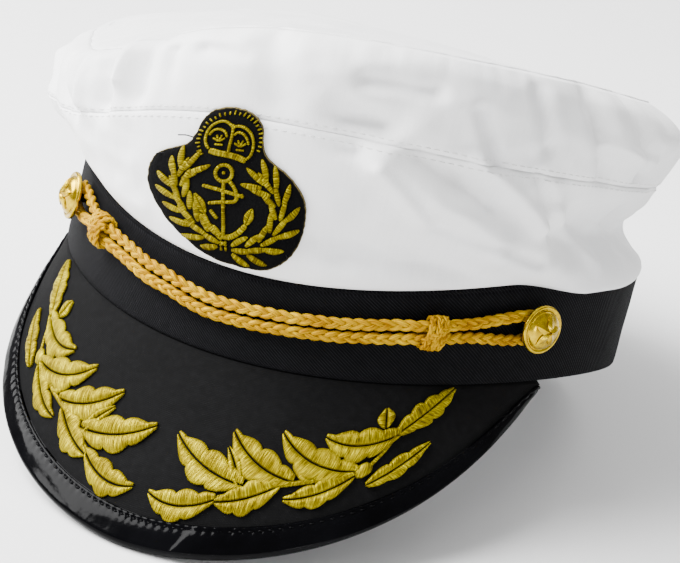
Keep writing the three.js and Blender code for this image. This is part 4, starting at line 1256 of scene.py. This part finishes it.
class CAP_OT_peak(bpy.types.Operator):
    """Builds the cloth peak, its patent binding and the binding's stitches."""
    bl_idname = "cap.peak"
    bl_label = "Peak"

    def execute(self, context):
        sizes = context.scene.cap_sizes
        self.shade()
        self.binding(sizes.binding_pitch / MM)
        self.stitches(sizes.binding_pitch / MM)
        return {"FINISHED"}

    def shade(self):
        mesh = bmesh.new()
        half = PEAK_THICKNESS / 2
        # Way round the peak's section: depth share, and lift
        profile = [(0.0, half)]
        profile += [(i / 24, half) for i in range(1, 25)]
        profile += [(1 - i / 24, -half) for i in range(25)]
        tucks = len(profile)
        profile += TURNED_UP + [(0.0, half)]

        def place(u, v):
            turn = peak_turn(u)
            (depth, lift), _ = along_line(profile, v)
            corner = round(v * (len(profile) - 1))
            if tucks <= corner < tucks + len(TURNED_UP):
                bearing = turn / 90 * CORNER_BEARING
                return band_point(bearing, band_foot(bearing) + depth, lift)
            wave = 0.25 * noise.noise(Vector((turn / 9, depth * 5, 2))) if lift > 0 else 0.0
            return peak_point(turn, depth, lift + wave * math.sin(math.pi * depth))

        def measure(u, v):
            (depth, _), _ = along_line(profile, v)
            return (rad(peak_turn(u)) * PEAK_REACH, depth * PEAK_RUN)

        new_skin(mesh, PEAK_COLUMNS, len(profile) - 1, place, measure, close_ends=True)
        finish_piece("peak_shade", mesh, peak_cloth(), ["peak"])

    def binding_lift(self, turn, inward, pitch):
        """Puckers between stitches, soft swelling along the rim and the lap of the two ends."""
        arc = rad(turn) * PEAK_REACH
        beat = abs(math.sin(math.pi * arc / pitch))
        stitched = math.exp(-((inward - BINDING_STITCH_LINE) / 1.1) ** 2)
        pucker = (0.3 * beat - 0.42) * stitched
        swell = 0.16 * noise.noise(Vector((turn / 5, inward / 5, 1)))
        lap_from, lap_to = 12.5 + inward * 0.35, 19.5 + inward * 0.1
        lap = smoothstep(turn, lap_from, lap_from + 0.5) * (1 - smoothstep(turn, lap_to, lap_to + 3))
        return pucker + swell + 0.4 * lap

    def binding(self, pitch):
        mesh = bmesh.new()
        near = PEAK_THICKNESS / 2 + 0.1
        far = PEAK_THICKNESS / 2 + BINDING_GAP + BINDING_THICKNESS
        reach = BINDING_GAP + BINDING_THICKNESS
        # Way round the binding's section: millimetres in from the rim, and lift
        profile = [(8.0, near), (8.0, near + 0.5), (7.7, near + 0.85), (7.2, near + 0.95)]
        for i in range(10):
            rise = min(1, i / 5) ** 0.5
            profile.append((BINDING_STITCH_LINE - i * 0.66, mix(near + 0.85, far, rise)))
        for i in range(13):
            angle = math.pi * i / 12
            profile.append((-reach * math.sin(angle), far * math.cos(angle)))
        profile += [(i * 0.8, -far) for i in range(1, 10)]
        outside = len(profile)
        profile += [(8.0, -near), (5.0, -near), (2.0, -near), (-0.2, -near), (-0.2, near)]
        profile += [(2.0, near), (5.0, near), (8.0, near)]

        def place(u, v):
            turn = peak_turn(u)
            (inward, lift), span = along_line(profile, v)
            shrink = binding_shrink(turn)
            depth = 1 - inward * shrink / peak_fall(turn)
            outer = span < outside and lift > near * 0.4
            extra = self.binding_lift(turn, inward, pitch) if outer else 0.0
            return peak_point(turn, depth, max(lift + extra, near * 0.4) if outer else lift)

        def measure(u, v):
            (inward, lift), _ = along_line(profile, v)
            return (rad(peak_turn(u)) * PEAK_REACH, inward + lift)

        new_skin(mesh, BINDING_COLUMNS, len(profile) - 1, place, measure, close_ends=True)
        finish_piece("binding_patent", mesh, patent_leather(), ["peak_binding"])

    def stitches(self, pitch):
        mesh = bmesh.new()
        places = []
        half_arc = rad(PEAK_END_BEARING - 3) * PEAK_REACH
        count = int(2 * half_arc / pitch)
        base = PEAK_THICKNESS / 2 + 0.62
        for i in range(count):
            arc = (round(-half_arc / pitch) + i) * pitch
            turns = [math.degrees((arc + side * 0.36 * pitch) / PEAK_REACH) for side in (-1, 0, 1)]
            spots = []
            for turn, lift in zip(turns, (base - 0.15, base + 0.2, base - 0.15)):
                shrink = binding_shrink(turn)
                spots.append(peak_point(turn, 1 - BINDING_STITCH_LINE * shrink / peak_fall(turn), lift))
            places.append(tuple(spots))
        add_stitches(mesh, places, BINDING_STITCH_RADIUS, 6)
        finish_piece("binding_stitches", mesh, patent_leather())


class CAP_OT_sprays(bpy.types.Operator):
    """Builds both satin-stitched leaf sprays on the peak."""
    bl_idname = "cap.sprays"
    bl_label = "Leaf sprays"

    def execute(self, context):
        height = context.scene.cap_sizes.leaf_height / MM
        self.spray("spray_left", 1, height, "leaf_spray_left")
        self.spray("spray_right", -1, height, "leaf_spray_right")
        return {"FINISHED"}

    def spray(self, name, hand, height, node):
        mesh = bmesh.new()
        arc = rad(1) * PEAK_REACH
        fall = peak_fall(30)

        def surface(x, y, lift):
            return peak_point(hand * x / arc, y / fall, PEAK_THICKNESS / 2 + lift)

        def flat(place):
            return (place[0] * arc, place[1] * fall)

        for number, (base, tip, wide, bend, lobes) in enumerate(SPRAY_LEAVES):
            for side in (-1, 1):
                add_leaf_half(
                    mesh, surface, flat(base), flat(tip), wide * PEAK_REACH, bend, lobes, side,
                    height, number * 2.3 + hand)
        centre, radius = flat(SPRAY_BERRY[0]), SPRAY_BERRY[1] * PEAK_REACH
        add_stroke(
            mesh, surface, [(centre[0] - radius, centre[1]), centre, (centre[0] + radius, centre[1])],
            radius * 2.1, height * 1.3, STROKE_STEP, 0.15, 4.0)
        add_stroke(mesh, surface, [flat(place) for place in SPRAY_STEM], 1.7, 0.75, 0.8, 0.4, 2.0)
        finish_piece(name, mesh, leaf_thread(), [node])


class CAP_OT_badge(bpy.types.Operator):
    """Builds the felt badge with its embroidered crown, anchor and laurel."""
    bl_idname = "cap.badge"
    bl_label = "Badge"

    def execute(self, context):
        sizes = context.scene.cap_sizes
        self.base = 0.25 + sizes.badge_felt_height / MM
        self.height = sizes.thread_height / MM
        self.patch()
        self.crown()
        self.anchor()
        for hand, side in ((1, "left"), (-1, "right")):
            self.wreath(hand, f"badge_laurel_{side}", f"badge_wreath_{side}")
        self.strays()
        return {"FINISHED"}

    def surface(self, x, y, lift):
        return badge_surface(x, y, self.base + lift)

    def patch(self):
        mesh = bmesh.new()
        top = self.base

        def place(u, v):
            edge = closed_curve(PATCH_OUTLINE, u)
            edge += edge.normalized() * 0.3 * noise.noise(Vector((edge.x * 0.8, edge.y * 0.8, 0.5)))
            if v < 0.7:
                reach, lift = (v / 0.7) ** 0.8, top
                lift -= 0.35 * smoothstep(reach, 0.93, 1.0)
                reach *= 0.99
            elif v < 0.85:
                reach, lift = 1.0, mix(top - 0.4, 0.3, (v - 0.7) / 0.15)
            else:
                reach, lift = (1 - v) / 0.15, 0.22
            curl = 0.5 * max(0.0, noise.noise(Vector((u * 9, 1.5, 0)))) * reach ** 6
            return badge_surface(edge.x * reach, edge.y * reach, lift + curl)

        def measure(u, v):
            return (u * 150, v / 0.75)

        new_skin(mesh, PATCH_COLUMNS, 40, place, measure)
        finish_piece("badge_felt_patch", mesh, badge_felt(), ["badge_patch"])

    def crown(self):
        mesh = bmesh.new()
        for number, (points, width) in enumerate(CROWN_STROKES):
            add_stroke(mesh, self.surface, points, width, self.height, STROKE_STEP, 0.6, number)
        (cx, cy), rx, ry, start, end, count = CROWN_RAY_ARC
        for i in range(count):
            angle = rad(mix(start, end, i / (count - 1)))
            out = Vector((math.sin(angle) * rx, math.cos(angle) * ry))
            near = Vector((cx, cy)) + out * 0.98
            far = Vector((cx, cy)) + out * (1.12 + 0.03 * math.sin(i * 2.4))
            add_stroke(mesh, self.surface, [near, far], 0.55, 0.35, STROKE_STEP, 0.7, i)
        for (fx, fy), size in CROWN_FLORETS:
            for k in range(4):
                angle = rad(-70 + 50 * k)
                tip = (fx + math.sin(angle) * size, fy + math.cos(angle) * size * 0.8)
                add_stroke(mesh, self.surface, [(fx, fy - 0.8), tip], 0.7, 0.45, STROKE_STEP, 0.5, k)
            foot = [(fx - 1.3, fy - 1.7), (fx + 1.3, fy - 2.0)]
            add_stroke(mesh, self.surface, foot, 0.7, 0.45, STROKE_STEP, 0.6, 9)
        finish_piece("badge_crown_stitch", mesh, badge_thread(), ["badge_crown"])

    def anchor(self):
        mesh = bmesh.new()
        (x, y), across, up = ANCHOR_RING
        angles = [2 * math.pi * i / 16 for i in range(17)]
        ring = [(x + across * math.sin(angle), y + up * math.cos(angle)) for angle in angles]
        add_stroke(mesh, self.surface, ring, 1.25, self.height, STROKE_STEP, 0.95, 3)
        add_stroke(mesh, self.surface, [(-1.9, 4.6), (-0.8, 4.6)], 1.2, self.height, 0.3, 0.5, 5)
        for number, (points, width) in enumerate(ANCHOR_STROKES):
            add_stroke(mesh, self.surface, points, width, self.height, STROKE_STEP, 0.6, number)
        for base, tip, width in ANCHOR_FLUKES:
            for side in (-1, 1):
                add_leaf_half(
                    mesh, self.surface, base, tip, width, 0.0, 1, side, self.height, side, 0.02)
        finish_piece("badge_anchor_stitch", mesh, badge_thread(), ["badge_anchor"])

    def wreath(self, hand, name, node):
        mesh = bmesh.new()
        for i in range(LAUREL_GROUPS):
            t = i / (LAUREL_GROUPS - 1)
            root, along = along_points(LAUREL_STEMS[hand], mix(0.02, 0.98, t))
            outward = Vector((along.y, -along.x)) * hand
            length = (LAUREL_LEAF_LENGTH + 0.6 * math.sin(i * 2.1 + hand)) * min(1, 0.84 + i / 8)
            for spread, reach, wide in LAUREL_LEAVES:
                lean = along * math.cos(spread) + outward * math.sin(spread)
                base = root + outward * 2.5 * math.sin(spread)
                tip = base + lean * length * reach
                middle = (base + tip) / 2 + outward * 0.5 * math.sin(spread)
                add_stroke(
                    mesh, self.surface, [base, middle, tip], wide, self.height + 0.12 * (i % 3), 0.45,
                    None, i + spread)
        finish_piece(name, mesh, badge_thread(), [node])

    def strays(self):
        mesh = bmesh.new()
        for points in STRAY_THREADS:
            line = [badge_surface(*along_points(points, k / 10)[0]) for k in range(11)]
            add_tube(mesh, line, STRAY_THREAD_RADIUS, 5)
        finish_piece("badge_stray_threads", mesh, black_thread())


# Strap paths
def strap_z(bearing):
    ends = len(STRAP_ROUTE) - 1
    after = next(i for i in range(1, ends + 1) if bearing <= STRAP_ROUTE[i][0] or i == ends)
    low, high = STRAP_ROUTE[after - 1], STRAP_ROUTE[after]
    t = clamp((bearing - low[0]) / (high[0] - low[0]))
    return band_middle(bearing) + mix(low[1], high[1], t * t * (3 - 2 * t))


BAND_ARC = rad(1) * BAND_HALF_LENGTH
PAIR_HALF = CORD_RADIUS + FIT_GAP / 2
SHANK_HALF = SHANK_RADIUS + FIT_GAP + CORD_RADIUS


def cord_out(bearing):
    spread = 0.8 * KNOT_LENGTH / BAND_ARC
    near = [(bearing - knot[0]) / spread for knot in (RIGHT_KNOT, LEFT_KNOT)]
    return CORD_STAND_OFF + (KNOT_WALL + KNOT_BORE) * sum(math.exp(-away * away) for away in near)


def cord_half(bearing):
    opened = smoothstep(bearing, LEFT_KNOT[0] + 5.5, LEFT_BUTTON[0] - 3)
    opened += smoothstep(-bearing, 5.5 - RIGHT_KNOT[0], -3 - RIGHT_BUTTON[0])
    return mix(PAIR_HALF, SHANK_HALF, opened)


def strap_loop():
    """Places round the strap's loop with the outward direction of the band at each."""
    places = []
    for hand, start, end in ((1, RIGHT_BUTTON, LEFT_BUTTON), (-1, LEFT_BUTTON, RIGHT_BUTTON)):
        for i in range(STRAP_STEPS):
            bearing = mix(start[0], end[0], i / STRAP_STEPS)
            sag = 0.25 * noise.noise(Vector((bearing / 6, hand * 3, 0)))
            z = strap_z(bearing) - hand * cord_half(bearing) + sag
            places.append((band_point(bearing, z, cord_out(bearing)), band_plan(bearing)[1]))
        turns = 16
        for i in range(turns):
            turn = math.pi * i / turns
            bearing = end[0] + hand * SHANK_HALF * math.sin(turn) / BAND_ARC
            z = strap_z(end[0]) - hand * SHANK_HALF * math.cos(turn)
            places.append((band_point(bearing, z, CORD_STAND_OFF), band_plan(bearing)[1]))
    return places


def resample(places, step, closed):
    """Even places along a way, each with its outward direction and distance from the start."""
    count = len(places)
    spans = count if closed else count - 1
    marks = [0.0]
    for i in range(spans):
        marks.append(marks[-1] + (places[(i + 1) % count][0] - places[i][0]).length)
    total = marks[-1]
    number = max(4, round(total / step))
    even = []
    i = 0
    for k in range(number if closed else number + 1):
        goal = total * k / number
        while i + 1 < spans and marks[i + 1] < goal:
            i += 1
        share = (goal - marks[i]) / max(marks[i + 1] - marks[i], 1e-9)
        a, b = places[i], places[(i + 1) % count]
        even.append((a[0].lerp(b[0], share), a[1].lerp(b[1], share).normalized(), goal))
    return even, total


def add_plait(mesh, places, pitch, size, closed, step=0.75):
    """Three strands plaited round a way. size scales the plait's section."""
    even, total = resample(places, step, closed)
    turns = max(1, round(total / pitch))
    count = len(even)
    for strand in range(3):
        points = []
        for i, (spot, outward, distance) in enumerate(even):
            after = even[(i + 1) % count][0] if closed or i + 1 < count else spot
            before = even[i - 1][0] if closed or i > 0 else spot
            along = (after - before).normalized()
            side = along.cross(outward).normalized()
            up = side.cross(along)
            phase = 2 * math.pi * (turns * distance / total + strand / 3)
            across = PLAIT_ACROSS * size * math.sin(phase)
            height = PLAIT_HEIGHT * size * math.sin(2 * phase)
            points.append(spot + side * across + up * height)
        add_tube(mesh, points, STRAND_RADIUS * size, 8, closed)


class CAP_OT_strap(bpy.types.Operator):
    """Builds the plaited strap and its two wrapped knots."""
    bl_idname = "cap.strap"
    bl_label = "Strap"

    def execute(self, context):
        pitch = context.scene.cap_sizes.plait_pitch / MM
        mesh = bmesh.new()
        add_plait(mesh, strap_loop(), pitch, 1.0, True)
        finish_piece("strap_plait", mesh, strap_silk(), ["chin_cord"])
        self.knot("strap_knot_left", LEFT_KNOT, "cord_knot_left", pitch)
        self.knot("strap_knot_right", RIGHT_KNOT, "cord_knot_right", pitch)
        return {"FINISHED"}

    def knot(self, name, knot, node, pitch):
        mesh = bmesh.new()
        steps = 90
        places = []
        for i in range(steps + 1):
            t = i / steps
            angle = 2 * math.pi * KNOT_TURNS * t + math.pi
            bulge = math.sin(math.pi * t)
            along = mix(-0.34, 0.34, t) * KNOT_LENGTH
            radius = CORD_RADIUS + 0.75 + 0.4 * bulge
            bearing = knot[0] + along / BAND_ARC
            height = PAIR_HALF * 0.85 * math.tanh(2.5 * math.sin(angle)) + radius * math.sin(angle)
            out = max(cord_out(bearing) + radius * math.cos(angle), 1.2)
            outward = band_plan(bearing)[1]
            round_out = outward * math.cos(angle) + UP * math.sin(angle)
            places.append((band_point(bearing, strap_z(bearing) + height, out), round_out))
        add_plait(mesh, places, pitch * KNOT_PITCH_SHARE, KNOT_PLAIT_SIZE, False, 0.6)
        cross = []
        for i in range(31):
            t = i / 30
            along = mix(0.42, -0.38, t) * KNOT_LENGTH
            bearing = knot[0] + along / BAND_ARC
            height = mix(PAIR_HALF * 1.35, -PAIR_HALF * 1.1, t)
            out = cord_out(bearing) + (CORD_RADIUS + 1.3) * math.sin(math.pi * mix(0.1, 0.9, t)) ** 0.5
            spot = band_point(bearing, strap_z(bearing) + height, out)
            cross.append((spot, band_plan(bearing)[1]))
        add_plait(mesh, cross, pitch * KNOT_PITCH_SHARE, KNOT_PLAIT_SIZE * 1.05, False, 0.6)
        finish_piece(name, mesh, strap_silk(), [node])


class CAP_OT_buttons(bpy.types.Operator):
    """Builds the domed gilt buttons with their raised stars."""
    bl_idname = "cap.buttons"
    bl_label = "Buttons"

    def execute(self, context):
        self.button("gilt_button_left", LEFT_BUTTON[0], "button_left")
        self.button("gilt_button_right", RIGHT_BUTTON[0], "button_right")
        return {"FINISHED"}

    def button(self, name, bearing, node):
        back = CORD_STAND_OFF + CORD_RADIUS + FIT_GAP
        rim = back + BUTTON_RIM
        well = BUTTON_RADIUS * WELL_SHARE
        # Way out along the shank, over the rim and in over the dome: radius, and out from the band
        profile = [
            (0.0, FIT_GAP), (SHANK_RADIUS, FIT_GAP), (SHANK_RADIUS, back), (BUTTON_RADIUS - 0.5, back)]
        for i in range(9):
            angle = math.pi * (i / 8 - 0.5)
            rise = 0.5 + 0.5 * math.sin(angle)
            profile.append((BUTTON_RADIUS - 0.45 + 0.45 * math.cos(angle), mix(back, rim, rise)))
        profile += [(well + 0.35, rim), (well + 0.1, rim - 0.3), (well - 0.15, rim - 0.25)]
        for i in range(1, 15):
            angle = math.pi / 2 * i / 14
            dome = rim - 0.2 + (BUTTON_DOME + 0.2) * math.sin(angle)
            profile.append((well * 0.97 * math.cos(angle), dome))
        profile[-1] = (0.0, profile[-1][1])
        outward = band_plan(bearing)[1]
        across = UP.cross(outward)
        centre = band_point(bearing, strap_z(bearing))

        def put(x, y, z):
            return centre + across * x + UP * y + outward * z

        mesh = bmesh.new()

        def lathe(u, v):
            (radius, height), _ = along_line(profile, v)
            angle = 2 * math.pi * u
            return put(radius * math.cos(angle), radius * math.sin(angle), height)

        new_skin(mesh, BUTTON_COLUMNS, len(profile) - 1, lathe, lambda u, v: (u * 47, v * 12))

        def star(u, v):
            spoke = 10 * u
            nearest = abs(((spoke + 1) % 2) - 1)
            edge = STAR_RADIUS * 1.13 * mix(1.0, 0.42, nearest)
            angle = math.pi / 2 + 2 * math.pi * u
            reach = min(1.0, v / 0.8)
            round_share = math.sqrt(max(0, 1 - (edge * reach / well) ** 2))
            dome = rim - 0.2 + (BUTTON_DOME + 0.2) * round_share
            ridge = 0.75 * (1 - reach) * mix(1, 0.2, nearest) + 0.15 * (1 - reach)
            lift = ridge + 0.42 if v <= 0.8 else mix(0.42, -0.3, (v - 0.8) / 0.2)
            out = edge * reach
            return put(out * math.cos(angle), out * math.sin(angle), dome + lift)

        relief = bmesh.new()
        new_skin(relief, 40, 10, star, lambda u, v: (u * 30, v * 5), close_ends=True)
        for face in relief.faces:
            face.smooth = False
        finish_piece(name, mesh, gilt_metal(), [node])
        finish_piece(name + "_star", relief, gilt_metal())


STEPS = ("stage", "crown", "band", "peak", "sprays", "badge", "strap", "buttons")


class CAP_PT_panel(bpy.types.Panel):
    """Lists the cap's pieces in the 3D view's sidebar."""
    bl_idname = "CAP_PT_panel"
    bl_label = "Sailor cap"
    bl_space_type = "VIEW_3D"
    bl_region_type = "UI"
    bl_category = "Cap"

    def draw(self, context):
        for step in STEPS:
            self.layout.operator(f"cap.{step}")
        scene = context.scene
        for group in (scene.cap_sizes, scene.cap_colours, scene.cap_stage):
            for key in group.__annotations__:
                self.layout.prop(group, key)


CLASSES = (
    CapSizes, CapColours, StageSizes, CAP_OT_stage, CAP_OT_crown, CAP_OT_band, CAP_OT_peak,
    CAP_OT_sprays, CAP_OT_badge, CAP_OT_strap, CAP_OT_buttons, CAP_PT_panel,
)


def register():
    for each in CLASSES:
        bpy.utils.register_class(each)
    bpy.types.Scene.cap_sizes = PointerProperty(type=CapSizes)
    bpy.types.Scene.cap_colours = PointerProperty(type=CapColours)
    bpy.types.Scene.cap_stage = PointerProperty(type=StageSizes)


def unregister():
    del bpy.types.Scene.cap_stage
    del bpy.types.Scene.cap_colours
    del bpy.types.Scene.cap_sizes
    for each in reversed(CLASSES):
        bpy.utils.unregister_class(each)


def main():
    register()
    for step in STEPS:
        getattr(bpy.ops.cap, step)()


if __name__ == "__main__":
    main()
